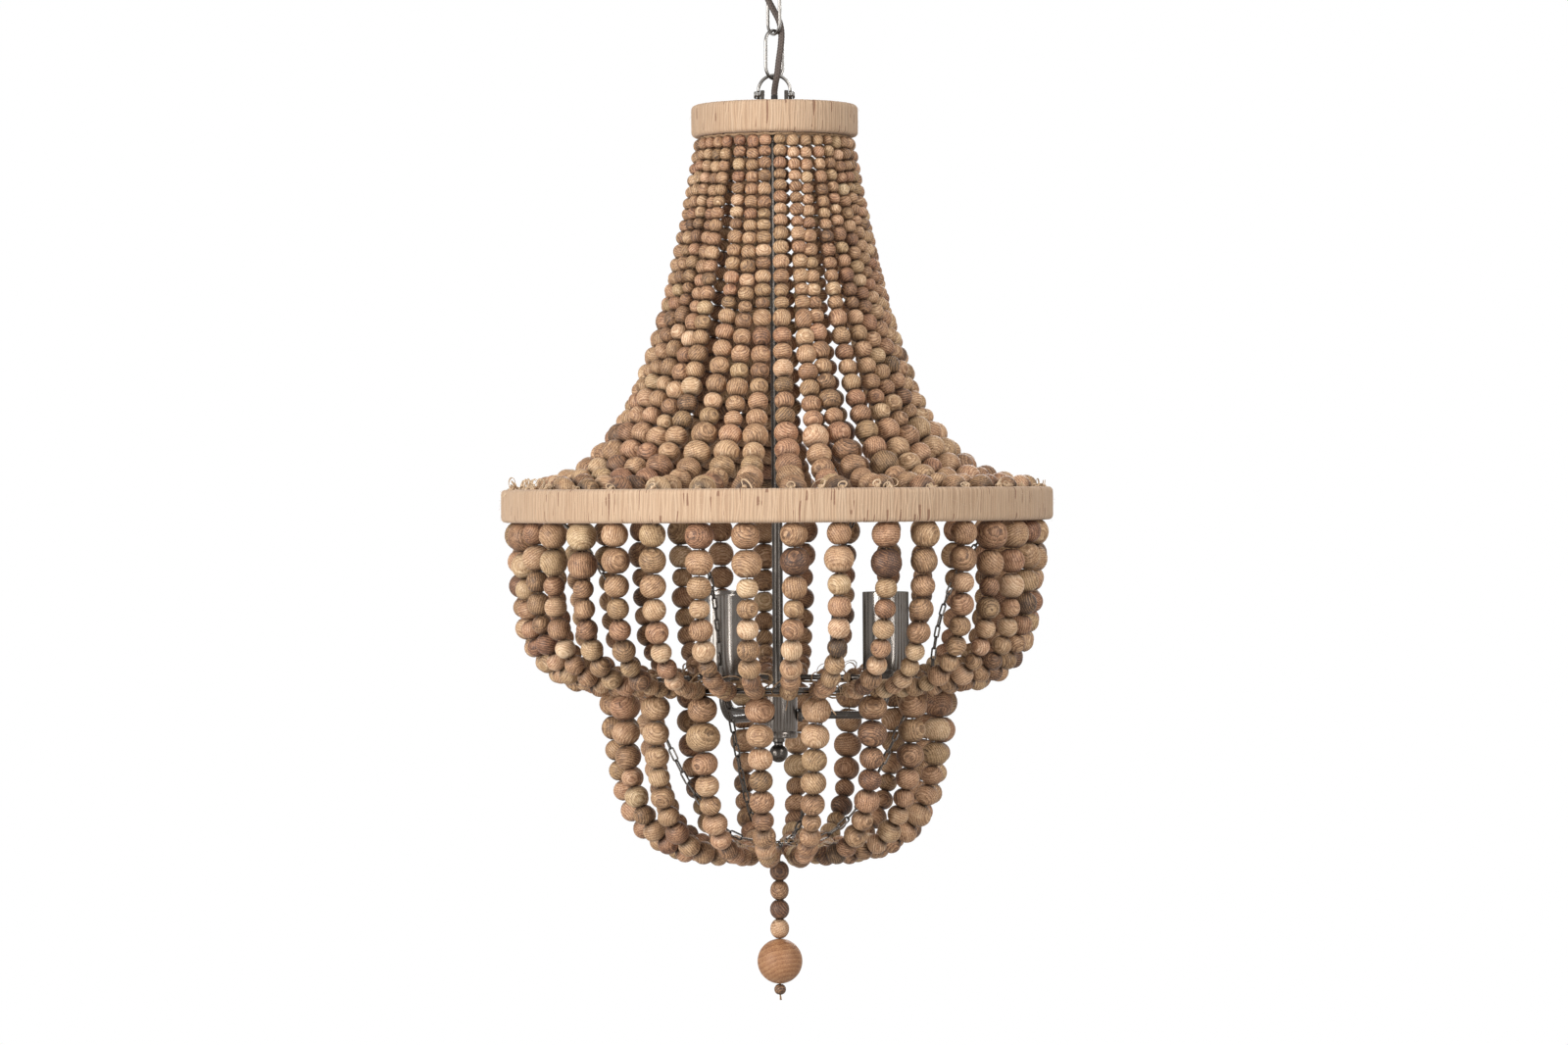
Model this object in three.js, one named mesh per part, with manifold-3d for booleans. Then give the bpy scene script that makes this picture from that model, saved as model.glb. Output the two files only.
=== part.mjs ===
// Beaded chandelier: strands of wooden beads on steel rings, hung from a ceiling plate by chain links.
// Millimetres, +Z up. The origin is the centre of the ceiling strap's top face.

import * as THREE from "three";
import { mergeVertices } from "three/addons/utils/BufferGeometryUtils.js";
import Module from "manifold-3d";

const wasm = await Module();
wasm.setup();

// Clearances, the overrun of every cut, how far welded pieces run into each other, and how near
// two corners lie to be one
const seatGap = 0.3;
const cutOverrun = 2;
const weldDepth = 0.8;
const sameCorner = 0.0001;

// Ceiling fitting
const strapLength = 100;
const strapWidth = 20;
const strapThickness = 2.5;
const strapSlotLength = 12;
const strapSlotWidth = 5;
const canopyRadius = 63.5;
const canopyHeight = 30;
const canopyWall = 1.5;
const canopyEdgeRadius = 6;
const studRadius = 4;
const collarRadius = 9;
const collarHeight = 12;
const loopRadius = 10;
const loopWireRadius = 2;
const gripPlace = [15.4, -2.5];
const gripFlangeRadius = 6;
const gripFlangeThickness = 3;
const gripNeckWall = 1.4;

// Carrying chain: three links whose planes turn by the yaw angles, in degrees from +X
const linkLength = 46;
const linkWidth = 24;
const linkWireRadius = 1.5;
const loopYaw = -60;
const linkYaws = { link_top: 30, link_middle: -60, link_bottom: 45 };

// Bail and its screws
const bailRadius = 14.2;
const bailLeg = 3.4;
const bailWireRadius = 1.5;
const bailEyeRadius = 4;
const bailEyeThickness = 3;
const bailScrewRadius = 1.5;
const bailScrewHeadRadius = 3.5;
const bailScrewHeadThickness = 2.2;
const lugThickness = 3.6;
const lugWidth = 8;

// Supply cord: its radius, and its route from inside the ceiling plate to the top of the rod
const cordRadius = 3;
const cordPoints = [
  [15.4, -2.5, -20],
  [15.4, -2.5, -34],
  [14.4, -2.4, -44],
  [12.2, -2, -52],
  [9, -1.5, -60],
  [4.6, -0.7, -69],
  [0, 0.2, -78],
  [-4.6, 1.2, -88],
  [-6.9, 1.9, -98],
  [-5.2, 1.4, -108],
  [-0.2, 0.4, -118],
  [4.6, -0.5, -128],
  [6.6, -1.1, -138],
  [6, -2.6, -150],
  [4.2, -4.4, -163],
  [2.6, -5.8, -176],
  [1.2, -3.6, -183],
  [0.1, -0.4, -190],
  [0, 0, -193.6],
];
const cordJoins = [6, 10, 13];
const cordStepLength = 7;
const cordSamples = 24;

// Top ring: steel band, four spokes and jute wrap
const topRingRadius = 74;
const topRingHeight = 28;
const wrapThickness = 12;
const bandInset = 4.5;
const bandThickness = 2.5;
const bandMargin = 2.5;
const spokeThickness = 4;
const spokeWidth = 8;
const bossRadius = 14;
const bossHeight = 8;
const hubPlateRadius = 16;
const hubPlateThickness = 4;
const pinRise = 9.5;

// Central rod and arm hub
const rodRadius = 4.75;
const rodWall = 1.1;
const rodCollarRadius = 7.5;
const rodCollarThickness = 3;
const armHubRadius = 17;
const armHubHeight = 38;
const armHubFlangeRadius = 20.5;
const armHubFlangeThickness = 5;
const rodSeatDepth = 21;
const hubNeckRadius = 5.5;
const hubNeckLength = 6;
const hubBallRadius = 8.3;

// Three arms, each with a cup, a lamp socket and a sleeve
const armCount = 3;
const armReach = 96;
const armTubeRadius = 3.5;
const armBendRadius = 20;
const armDrop = 23;
const armRise = 36;
const cupRadius = 22;
const cupThickness = 3;
const sleeveRadius = 20.5;
const sleeveWall = 1;
const sleeveHeight = 70;
const socketRadius = 16;
const socketBoreRadius = 13.2;
const socketHeight = 58;
const socketBoreDepth = 27;

// Big ring and the rings below it, each by its height under the ring above it
const bigRingRadius = 245;
const bigRingHeight = 29;
const bigRingDrop = 340;
const hoopRadius = 144;
const hoopWireRadius = 2.5;
const hoopDrop = 174;
const bottomRingRadius = 22;
const bottomRingWireRadius = 1.5;
const bottomRingDrop = 143;

// Bead strands: how many, and the bead diameters from the top of a strand to its foot
const stringRadius = 1;
const tieRadius = 1.2;
const strandFirstAzimuth = 3.4;
const strandSides = 4;
const fineStrandSides = 3;
const waistShare = 0.55;
const plainShare = 0.88;
const upperStrands = 36;
const upperGroups = 4;
const upperFirstBead = 10.4;
const upperSecondBead = 12.2;
const upperThirdBead = 15.2;
const upperLastBead = 19.4;
const upperBeadRuns = [
  { count: 8, diameter: upperFirstBead },
  { count: 6, diameter: upperSecondBead },
  { count: 7, diameter: upperThirdBead },
  { count: 6, diameter: upperLastBead },
];
const middleStrands = 36;
const middleGroups = 4;
const middleFirstBead = 22.5;
const middleSecondBead = 18;
const middleThirdBead = 16;
const middleLastBead = 14;
const middleBeadRuns = [
  { count: 2, diameter: middleFirstBead, shaped: true },
  { count: 3, diameter: middleSecondBead },
  { count: 3, diameter: middleThirdBead },
  { count: 3, diameter: middleLastBead },
];
const lowerStrands = 18;
const lowerGroups = 3;
const lowerFirstBead = 22;
const lowerSecondBead = 18.8;
const lowerThirdBead = 17.4;
const lowerLastBead = 15.5;
const lowerExtraBead = 12.5;
const lowerBeadRuns = [
  { count: 2, diameter: lowerFirstBead, shaped: true },
  { count: 3, diameter: lowerSecondBead, shaped: true },
  { count: 3, diameter: lowerThirdBead },
  { count: 4, diameter: lowerLastBead },
];
const lowerExtraRun = { count: 1, diameter: lowerExtraBead };
const upperLead = 1.5;
const middleLead = 4.5;
const lowerLead = 2;
const plainStep = 48;

// Strand curves: two control points each, as shares of the way out and of the way down
const upperCurveShares = [[0.18, 0.57], [0.37, 1.036]];
const middleCurveShares = [[0.1, 0.43], [-0.16, 1.01]];
const lowerCurveShares = [[0.01, 0.61], [0.07, 1.19]];

// Side chains, four in each tier, drawn as plain bars of the links' width
const sideChainCount = 4;
const sideChainAzimuth = 70;
const sideChainRadius = 2.6;
const sideChainSteps = 7;
const sideChainInset = 12;
const upperChainEndShare = 0.3;
const middleChainStartShare = 0.62;
const bottomChainRise = 3.4;
const upperChainShares = [[0.06, 0.55], [0.3, 1.01]];
const middleChainShares = [[0.2, 0], [0.98, 0.3]];
const lowerChainShares = [[0.2, 0], [0.42, 0.97]];

// Finial string below the bottom ring
const finialLoopRadius = 4;
const finialEyeRadius = 3;
const finialWireRadius = 1;
const finialBeadRadius = 8.7;
const finialBeadCount = 4;
const finialBeadPitch = 17.1;
const finialLead = 6;
const finialBallRadius = 20;
const finialEndBeadRadius = 4.8;
const finialTail = 5;

// Facets round each kind of piece
const bigRingFacets = 36;
const topRingFacets = 20;
const turnedFacets = 16;
const smallFacets = 8;
const linkFacets = 14;
const hoopFacets = 24;
const wireSides = 6;
const arcFacets = 3;

// Heights worked out from the sizes above
const degrees = Math.PI / 180;
const loopWireZ = -canopyHeight - seatGap - collarHeight - loopRadius * 2 + weldDepth * 2;
const linkPitch = linkLength - linkWireRadius * 2;
const linkStep = linkWireRadius * 2 + seatGap;
const linkTopZ = loopWireZ + loopWireRadius + linkWireRadius + seatGap;
const linkMiddleZ = linkTopZ - linkPitch + linkStep;
const linkBottomZ = linkMiddleZ - linkPitch + linkStep;
const bailTopZ = linkBottomZ - linkPitch + linkStep;
const pinZ = bailTopZ - bailRadius - bailLeg;
const topRingZ = pinZ - pinRise;
const bigRingZ = topRingZ - bigRingDrop;
const hoopZ = bigRingZ - hoopDrop;
const bottomRingZ = hoopZ - bottomRingDrop;
const topBandRadius = topRingRadius - bandInset;
const bigBandRadius = bigRingRadius - bandInset;
const bossTopZ = topRingZ - topRingHeight / 2 + bossHeight / 2;
const bossBottomZ = bossTopZ - bossHeight;
const hubPlateZ = bossTopZ + seatGap;
const rodTopZ = hubPlateZ + hubPlateThickness + seatGap + rodCollarThickness;
const armHubTopZ = hoopZ - armHubFlangeThickness;
const armHubBottomZ = armHubTopZ - armHubHeight - armHubFlangeThickness;
const armZ = armHubTopZ - armDrop;
const cupTopZ = armZ + armRise + cupThickness;
const rodBottomZ = armHubTopZ - rodSeatDepth;
const upperTieZ = topRingZ - topRingHeight - seatGap - tieRadius;
const bigRingInnerFlat = (bigRingRadius - wrapThickness) * Math.cos(Math.PI / bigRingFacets);
const hoopInnerFlat = (hoopRadius - hoopWireRadius) * Math.cos(Math.PI / hoopFacets);
const lowerTieZ = hoopZ - hoopWireRadius - seatGap - tieRadius;

// Solids: closed meshes with shared corners, facing out, joined and cut where pieces are welded or bored
function closed(geometry) {
  geometry.deleteAttribute("normal");
  geometry.deleteAttribute("uv");
  const merged = mergeVertices(geometry, sameCorner);
  const corners = merged.index.array;
  const kept = [];
  for (let i = 0; i < corners.length; i += 3) {
    const [a, b, c] = [corners[i], corners[i + 1], corners[i + 2]];
    if (a !== b && b !== c && c !== a) {
      kept.push(a, b, c);
    }
  }
  merged.setIndex(kept);
  if (signedVolume(merged) < 0) {
    kept.reverse();
    merged.setIndex(kept);
  }
  return merged;
}

function signedVolume(geometry) {
  const a = new THREE.Vector3();
  const b = new THREE.Vector3();
  const c = new THREE.Vector3();
  const corners = geometry.index.array;
  let volume = 0;
  for (let i = 0; i < corners.length; i += 3) {
    a.fromBufferAttribute(geometry.attributes.position, corners[i]);
    b.fromBufferAttribute(geometry.attributes.position, corners[i + 1]);
    c.fromBufferAttribute(geometry.attributes.position, corners[i + 2]);
    volume += a.dot(b.cross(c)) / 6;
  }
  return volume;
}

function toSolid(geometry) {
  const mesh = closed(geometry);
  return new wasm.Manifold(new wasm.Mesh({
    numProp: 3,
    vertProperties: new Float32Array(mesh.attributes.position.array),
    triVerts: new Uint32Array(mesh.index.array),
  }));
}

function fromSolid(solid) {
  const mesh = solid.getMesh();
  const geometry = new THREE.BufferGeometry();
  geometry.setAttribute("position", new THREE.BufferAttribute(mesh.vertProperties, 3));
  geometry.setIndex(new THREE.BufferAttribute(mesh.triVerts, 1));
  return geometry;
}

function joined(...geometries) {
  return fromSolid(geometries.map(toSolid).reduce((whole, piece) => whole.add(piece)));
}

function cutBy(geometry, ...tools) {
  return fromSolid(tools.map(toSolid).reduce((whole, tool) => whole.subtract(tool), toSolid(geometry)));
}

// A body turned round the Z axis from [radius, height] points
function turned(points, facets = turnedFacets) {
  const profile = points.map(([radius, height]) => new THREE.Vector2(radius, height));
  return new THREE.LatheGeometry(profile, facets).rotateX(Math.PI / 2);
}

function turnedRing(points, facets) {
  return turned([...points, points[0]], facets);
}

function rod(radius, low, high, facets = smallFacets) {
  return turned([[0, low], [radius, low], [radius, high], [0, high]], facets);
}

function ballPoints(radius, centre, steps = arcFacets + 1) {
  const points = [];
  for (let i = 0; i <= steps; i += 1) {
    const angle = Math.PI * (i / steps - 0.5);
    points.push([radius * Math.cos(angle), centre + radius * Math.sin(angle)]);
  }
  points[0][0] = 0;
  points[steps][0] = 0;
  return points;
}

// A wire or tube of even section along a curve
function tube(curve, radius, steps, sides = wireSides) {
  const section = new THREE.Shape();
  for (let i = 0; i < sides; i += 1) {
    const angle = (i / sides) * 2 * Math.PI;
    const method = i === 0 ? "moveTo" : "lineTo";
    section[method](radius * Math.cos(angle), radius * Math.sin(angle));
  }
  return new THREE.ExtrudeGeometry(section, { steps, bevelEnabled: false, extrudePath: curve });
}

function polar(radius, azimuth, height) {
  return new THREE.Vector3(radius * Math.cos(azimuth), radius * Math.sin(azimuth), height);
}

// A curve in a [radius, height] plane, bent by two control points given as shares of its way
function profileCurve(start, end, shares) {
  const control = ([outShare, downShare]) => new THREE.Vector2(
    start[0] + (end[0] - start[0]) * outShare,
    start[1] + (end[1] - start[1]) * downShare,
  );
  return new THREE.CubicBezierCurve(
    new THREE.Vector2(...start),
    control(shares[0]),
    control(shares[1]),
    new THREE.Vector2(...end),
  );
}

// The same curve stood up in the vertical plane at an azimuth
function standingCurve(curve, azimuth) {
  const stand = (point) => polar(point.x, azimuth, point.y);
  return new THREE.CubicBezierCurve3(stand(curve.v0), stand(curve.v1), stand(curve.v2), stand(curve.v3));
}

// Finishes
const steel = () => new THREE.MeshStandardMaterial({ color: 0x47423e, roughness: 0.38, metalness: 0.9 });
const jute = () => new THREE.MeshStandardMaterial({ color: 0xcdb291, roughness: 0.92, metalness: 0 });
const wood = () => new THREE.MeshStandardMaterial({ color: 0xb08864, roughness: 0.68, metalness: 0 });
const braid = () => new THREE.MeshStandardMaterial({ color: 0x2b2320, roughness: 0.85, metalness: 0 });
const black = () => new THREE.MeshStandardMaterial({ color: 0x1d1c1b, roughness: 0.5, metalness: 0 });

const chandelier = new THREE.Group();

function add(name, geometry, material, place = {}) {
  const mesh = new THREE.Mesh(closed(geometry), material);
  mesh.name = name;
  mesh.rotation.z = (place.yaw ?? 0) * degrees;
  mesh.position.set(0, 0, place.height ?? 0);
  chandelier.add(mesh);
}

// Ceiling strap with its threaded stud, and two slots for the ceiling screws
function addStrap() {
  const studEnd = -canopyHeight - collarHeight / 2;
  const plate = new THREE.BoxGeometry(strapLength, strapWidth, strapThickness);
  plate.translate(0, 0, -strapThickness / 2);
  const slots = [-1, 1].map((side) => {
    const slot = new THREE.BoxGeometry(strapSlotLength, strapSlotWidth, strapThickness + cutOverrun);
    return slot.translate(side * (strapLength / 2 - strapSlotLength), 0, -strapThickness / 2);
  });
  const stud = rod(studRadius, studEnd, -strapThickness / 2);
  add("mounting_strap", cutBy(joined(plate, stud), ...slots), steel());
}

// Canopy: a shallow cup that hides the strap, with a hole for the stud and one for the cord grip
function addCanopy() {
  const innerRadius = canopyRadius - canopyWall;
  const innerEdge = canopyEdgeRadius - canopyWall;
  const points = [[0, -canopyHeight]];
  for (let i = 0; i <= arcFacets; i += 1) {
    const angle = (i / arcFacets) * (Math.PI / 2);
    points.push([
      canopyRadius - canopyEdgeRadius * (1 - Math.sin(angle)),
      -canopyHeight + canopyEdgeRadius * (1 - Math.cos(angle)),
    ]);
  }
  points.push([canopyRadius, 0], [innerRadius, 0]);
  for (let i = arcFacets; i >= 0; i -= 1) {
    const angle = (i / arcFacets) * (Math.PI / 2);
    points.push([
      innerRadius - innerEdge * (1 - Math.sin(angle)),
      -canopyHeight + canopyWall + innerEdge * (1 - Math.cos(angle)),
    ]);
  }
  points.push([0, -canopyHeight + canopyWall]);
  const low = -canopyHeight - cutOverrun;
  const high = -canopyHeight + canopyWall + cutOverrun;
  const studHole = rod(studRadius + seatGap, low, high);
  const gripHole = rod(cordRadius + gripNeckWall + seatGap * 2, low, high).translate(...gripPlace, 0);
  add("canopy_shell", cutBy(turned(points, topRingFacets), studHole, gripHole), steel());
}

// Collar that screws onto the stud under the canopy and carries the chain in its loop
function addCollarLoop() {
  const top = -canopyHeight - seatGap;
  const bottom = top - collarHeight;
  const boreEnd = -canopyHeight - collarHeight / 2 - seatGap;
  const bore = studRadius + seatGap;
  const collar = turned([[0, bottom], [collarRadius, bottom], [collarRadius, top], [bore, top],
    [bore, boreEnd], [0, boreEnd]]);
  const loop = new THREE.TorusGeometry(loopRadius, loopWireRadius, wireSides, linkFacets);
  loop.rotateZ(Math.PI / linkFacets).rotateX(Math.PI / 2).rotateZ(loopYaw * degrees);
  loop.translate(0, 0, loopWireZ + loopRadius);
  add("canopy_loop", joined(collar, loop), steel());
}

// Cord grip: a flanged bush in the canopy
function addCordGrip() {
  const bore = cordRadius + seatGap;
  const neck = bore + gripNeckWall;
  const flangeTop = -canopyHeight - seatGap;
  const flangeBottom = flangeTop - gripFlangeThickness;
  const neckTop = -canopyHeight + canopyWall * 2;
  const points = [[bore, flangeBottom], [gripFlangeRadius, flangeBottom], [gripFlangeRadius, flangeTop],
    [neck, flangeTop], [neck, neckTop], [bore, neckTop]];
  add("cord_grip", turnedRing(points, smallFacets).translate(...gripPlace, 0), black());
}

// Chain link: a round wire ring drawn out into two straight sides
function linkGeometry() {
  const meanRadius = linkWidth / 2 - linkWireRadius;
  const halfStraight = (linkLength - linkWidth) / 2;
  const link = new THREE.TorusGeometry(meanRadius, linkWireRadius, wireSides, linkFacets);
  link.rotateZ(Math.PI / linkFacets);
  const position = link.attributes.position;
  for (let i = 0; i < position.count; i += 1) {
    position.setY(i, position.getY(i) + Math.sign(position.getY(i)) * halfStraight);
  }
  return link.rotateX(Math.PI / 2);
}

function addLinks() {
  const tops = { link_top: linkTopZ, link_middle: linkMiddleZ, link_bottom: linkBottomZ };
  for (const [name, yaw] of Object.entries(linkYaws)) {
    add(name, linkGeometry(), steel(), { yaw, height: tops[name] - linkPitch / 2 });
  }
}

// Supply cord in stretches, one for each chain joint that it crosses, and the run inside the rod
function addCord() {
  const points = cordPoints.map((point) => new THREE.Vector3(...point));
  const route = new THREE.CatmullRomCurve3(points);
  const last = points.length - 1;
  const ends = [0, ...cordJoins, last].map((index) => index / last);
  const names = ["cord_top", "cord_upper", "cord_lower", "cord_bottom"];
  names.forEach((name, i) => {
    const samples = [];
    for (let k = 0; k <= cordSamples; k += 1) {
      samples.push(route.getPoint(ends[i] + ((ends[i + 1] - ends[i]) * k) / cordSamples));
    }
    if (i < names.length - 1) {
      const before = samples[cordSamples - 1].clone().sub(samples[cordSamples]).setLength(seatGap);
      samples[cordSamples].add(before);
    }
    const stretch = new THREE.CatmullRomCurve3(samples);
    const steps = Math.round(stretch.getLength() / cordStepLength);
    add(name, tube(stretch, cordRadius, steps, smallFacets), braid());
  });
  const mouth = cordPoints[last][2] - seatGap;
  add("cord_in_rod", rod(cordRadius, rodBottomZ + cordRadius, mouth), braid());
}

// Bail: a half ring on two legs, each ending in an eye for its screw
function addBail() {
  const arcCentre = pinZ + bailLeg;
  const points = [new THREE.Vector3(bailRadius, 0, pinZ)];
  for (let i = 0; i <= linkFacets; i += 1) {
    const angle = (i / linkFacets) * Math.PI;
    const height = arcCentre + bailRadius * Math.sin(angle);
    points.push(new THREE.Vector3(bailRadius * Math.cos(angle), 0, height));
  }
  points.push(new THREE.Vector3(-bailRadius, 0, pinZ));
  const bow = tube(new THREE.CatmullRomCurve3(points), bailWireRadius, points.length - 1);
  const across = (radius, length) => [-1, 1].map(
    (side) => crosswise(radius, length).translate(side * bailRadius, 0, pinZ),
  );
  const eyes = across(bailEyeRadius, bailEyeThickness);
  const holes = across(bailScrewRadius + seatGap, bailEyeThickness + cutOverrun);
  add("bail", cutBy(joined(bow, ...eyes), ...holes), steel());
}

// A disc or pin whose axis lies along X, centred on the origin
function crosswise(radius, length, facets = smallFacets) {
  return rod(radius, -length / 2, length / 2, facets).rotateY(Math.PI / 2);
}

// Screws: a pan head outside the eye, and a shank that runs through it into the hub's lug
function addBailScrews() {
  const headInner = bailRadius + bailEyeThickness / 2 + seatGap;
  const shankEnd = bailRadius - bailEyeThickness / 2 - seatGap - lugThickness;
  const shankLength = headInner + weldDepth - shankEnd;
  for (const [name, side] of [["bail_screw_left", -1], ["bail_screw_right", 1]]) {
    const head = crosswise(bailScrewHeadRadius, bailScrewHeadThickness);
    head.translate(side * (headInner + bailScrewHeadThickness / 2), 0, 0);
    const shank = crosswise(bailScrewRadius, shankLength);
    shank.translate(side * (shankEnd + shankLength / 2), 0, 0);
    add(name, joined(head, shank), steel(), { height: pinZ });
  }
}

// Top hub: a plate on the rod with two lugs for the bail screws
function addTopHub() {
  const plateTop = hubPlateZ + hubPlateThickness;
  const plate = rod(hubPlateRadius, hubPlateZ, plateTop, turnedFacets);
  const lugTop = pinZ + lugWidth / 2;
  const lugBottom = plateTop - weldDepth;
  const lugPlace = bailRadius - bailEyeThickness / 2 - seatGap - lugThickness / 2;
  const lugs = [-1, 1].map((side) => new THREE.BoxGeometry(lugThickness, lugWidth, lugTop - lugBottom)
    .translate(side * lugPlace, 0, (lugTop + lugBottom) / 2));
  const rodHole = rod(rodRadius + seatGap, hubPlateZ - cutOverrun, plateTop + cutOverrun, turnedFacets);
  const screwHole = crosswise(bailScrewRadius + seatGap, bailRadius * 2).translate(0, 0, pinZ);
  add("top_hub", cutBy(joined(plate, ...lugs), rodHole, screwHole), steel());
}

// A flat steel band, as [radius, height] corners below a ring's upper edge
function bandPoints(bandRadius, top, height) {
  const innerRadius = bandRadius - bandThickness;
  const low = top - height + bandMargin;
  const high = top - bandMargin;
  return [[bandRadius, low], [bandRadius, high], [innerRadius, high], [innerRadius, low]];
}

// Top frame: the band, four spokes and the boss that the rod passes through
function addTopFrame() {
  const band = turnedRing(bandPoints(topBandRadius, topRingZ, topRingHeight), topRingFacets);
  const boss = rod(bossRadius, bossBottomZ, bossTopZ, turnedFacets);
  const spokeEnd = topBandRadius - bandThickness / 2;
  const spokeMiddle = (bossTopZ + bossBottomZ) / 2;
  const spokes = [];
  for (let i = 0; i < sideChainCount; i += 1) {
    const azimuth = (sideChainAzimuth + (360 / sideChainCount) * i) * degrees;
    const spoke = new THREE.BoxGeometry(spokeEnd, spokeWidth, spokeThickness);
    spokes.push(spoke.translate(spokeEnd / 2, 0, spokeMiddle).rotateZ(azimuth));
  }
  const rodHole = rod(rodRadius + seatGap, bossBottomZ - cutOverrun, bossTopZ + cutOverrun, turnedFacets);
  add("top_frame", cutBy(joined(band, boss, ...spokes), rodHole), steel());
}

// Jute wrap round a band, open in a slit along its inner side
function wrapGeometry(outerRadius, top, height, slitHeight, facets) {
  const innerRadius = outerRadius - wrapThickness;
  const bottom = top - height;
  const middle = top - height / 2;
  const slotOuter = outerRadius - bandInset + seatGap;
  const slotInner = outerRadius - bandInset - bandThickness - seatGap;
  const slotTop = top - bandMargin + seatGap;
  const slotBottom = bottom + bandMargin - seatGap;
  return turnedRing([
    [outerRadius, bottom],
    [outerRadius, top],
    [innerRadius, top],
    [innerRadius, middle + slitHeight / 2],
    [slotInner, middle + slitHeight / 2],
    [slotInner, slotTop],
    [slotOuter, slotTop],
    [slotOuter, slotBottom],
    [slotInner, slotBottom],
    [slotInner, middle - slitHeight / 2],
    [innerRadius, middle - slitHeight / 2],
    [innerRadius, bottom],
  ], facets);
}

function addWraps() {
  const slit = spokeThickness + seatGap * 2;
  add("top_wrap", wrapGeometry(topRingRadius, topRingZ, topRingHeight, slit, topRingFacets), jute());
  add("big_wrap", wrapGeometry(bigRingRadius, bigRingZ, bigRingHeight, slit, bigRingFacets), jute());
  const band = turnedRing(bandPoints(bigBandRadius, bigRingZ, bigRingHeight), bigRingFacets);
  add("big_band", band, steel());
}

// Central rod: a tube with one collar over the hub plate and one under the frame's boss
function addRod() {
  const bore = rodRadius - rodWall;
  const lowerCollarTop = bossBottomZ - seatGap;
  const lowerCollarBottom = lowerCollarTop - rodCollarThickness;
  const upperCollarBottom = rodTopZ - rodCollarThickness;
  const points = [
    [bore, rodBottomZ], [rodRadius, rodBottomZ], [rodRadius, lowerCollarBottom],
    [rodCollarRadius, lowerCollarBottom], [rodCollarRadius, lowerCollarTop], [rodRadius, lowerCollarTop],
    [rodRadius, upperCollarBottom], [rodCollarRadius, upperCollarBottom], [rodCollarRadius, rodTopZ],
    [bore, rodTopZ],
  ];
  add("centre_rod", turnedRing(points, linkFacets), steel());
}

// Arm hub under the rod, and the small turned finial that closes it
function addArmHub() {
  const bore = rodRadius + seatGap;
  const flangeBottom = armHubTopZ - armHubFlangeThickness;
  const boreEnd = rodBottomZ - seatGap;
  const points = [[0, armHubBottomZ], [armHubRadius, armHubBottomZ], [armHubRadius, flangeBottom],
    [armHubFlangeRadius, flangeBottom], [armHubFlangeRadius, armHubTopZ], [bore, armHubTopZ],
    [bore, boreEnd], [0, boreEnd]];
  add("arm_hub", turned(points), steel());
  const neckTop = armHubBottomZ - seatGap;
  const ballZ = neckTop - hubNeckLength - hubBallRadius + weldDepth;
  const neck = rod(hubNeckRadius, neckTop - hubNeckLength, neckTop);
  const ball = turned(ballPoints(hubBallRadius, ballZ), smallFacets);
  add("hub_finial", joined(neck, ball), steel());
}

// Arms: a tube that leaves the hub level and turns up into a cup
function armGeometry() {
  const points = [];
  const bendCentre = armReach - armBendRadius;
  const start = armHubRadius + seatGap;
  for (let i = 0; i < arcFacets; i += 1) {
    points.push(new THREE.Vector3(start + ((bendCentre - start) * i) / arcFacets, 0, armZ));
  }
  for (let i = 0; i <= arcFacets * 2; i += 1) {
    const angle = ((i / (arcFacets * 2)) * Math.PI) / 2;
    const out = bendCentre + armBendRadius * Math.sin(angle);
    const height = armZ + armBendRadius * (1 - Math.cos(angle));
    points.push(new THREE.Vector3(out, 0, height));
  }
  const cupBottom = cupTopZ - cupThickness;
  points.push(new THREE.Vector3(armReach, 0, cupBottom + weldDepth));
  const arm = tube(new THREE.CatmullRomCurve3(points), armTubeRadius, points.length, wireSides);
  const cup = rod(cupRadius, cupBottom, cupTopZ, turnedFacets).translate(armReach, 0, 0);
  return joined(arm, cup);
}

function socketGeometry() {
  const bottom = cupTopZ + seatGap;
  const top = bottom + socketHeight;
  const boreEnd = top - socketBoreDepth;
  const points = [[0, bottom], [socketRadius, bottom], [socketRadius, top], [socketBoreRadius, top],
    [socketBoreRadius, boreEnd], [0, boreEnd]];
  return turned(points).translate(armReach, 0, 0);
}

function sleeveGeometry() {
  const bottom = cupTopZ + seatGap;
  const top = bottom + sleeveHeight;
  const inner = sleeveRadius - sleeveWall;
  const points = [[sleeveRadius, bottom], [sleeveRadius, top], [inner, top], [inner, bottom]];
  return turnedRing(points, turnedFacets).translate(armReach, 0, 0);
}

function addArms() {
  for (let i = 0; i < armCount; i += 1) {
    const yaw = (360 / armCount) * i;
    add(`arm_${i + 1}`, armGeometry(), steel(), { yaw });
    add(`lamp_socket_${i + 1}`, socketGeometry(), black(), { yaw });
    add(`lamp_sleeve_${i + 1}`, sleeveGeometry(), steel(), { yaw });
  }
}

// Bare steel rings: the lower hoop, and the small bottom ring with its crossbar
function addBareRings() {
  const hoop = new THREE.TorusGeometry(hoopRadius, hoopWireRadius, wireSides, hoopFacets);
  add("lower_hoop", hoop, steel(), { height: hoopZ });
  const ring = new THREE.TorusGeometry(bottomRingRadius, bottomRingWireRadius, wireSides, turnedFacets);
  const bar = crosswise(bottomRingWireRadius, bottomRingRadius * 2, wireSides);
  add("bottom_ring", joined(ring, bar), steel(), { height: bottomRingZ });
}

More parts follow.
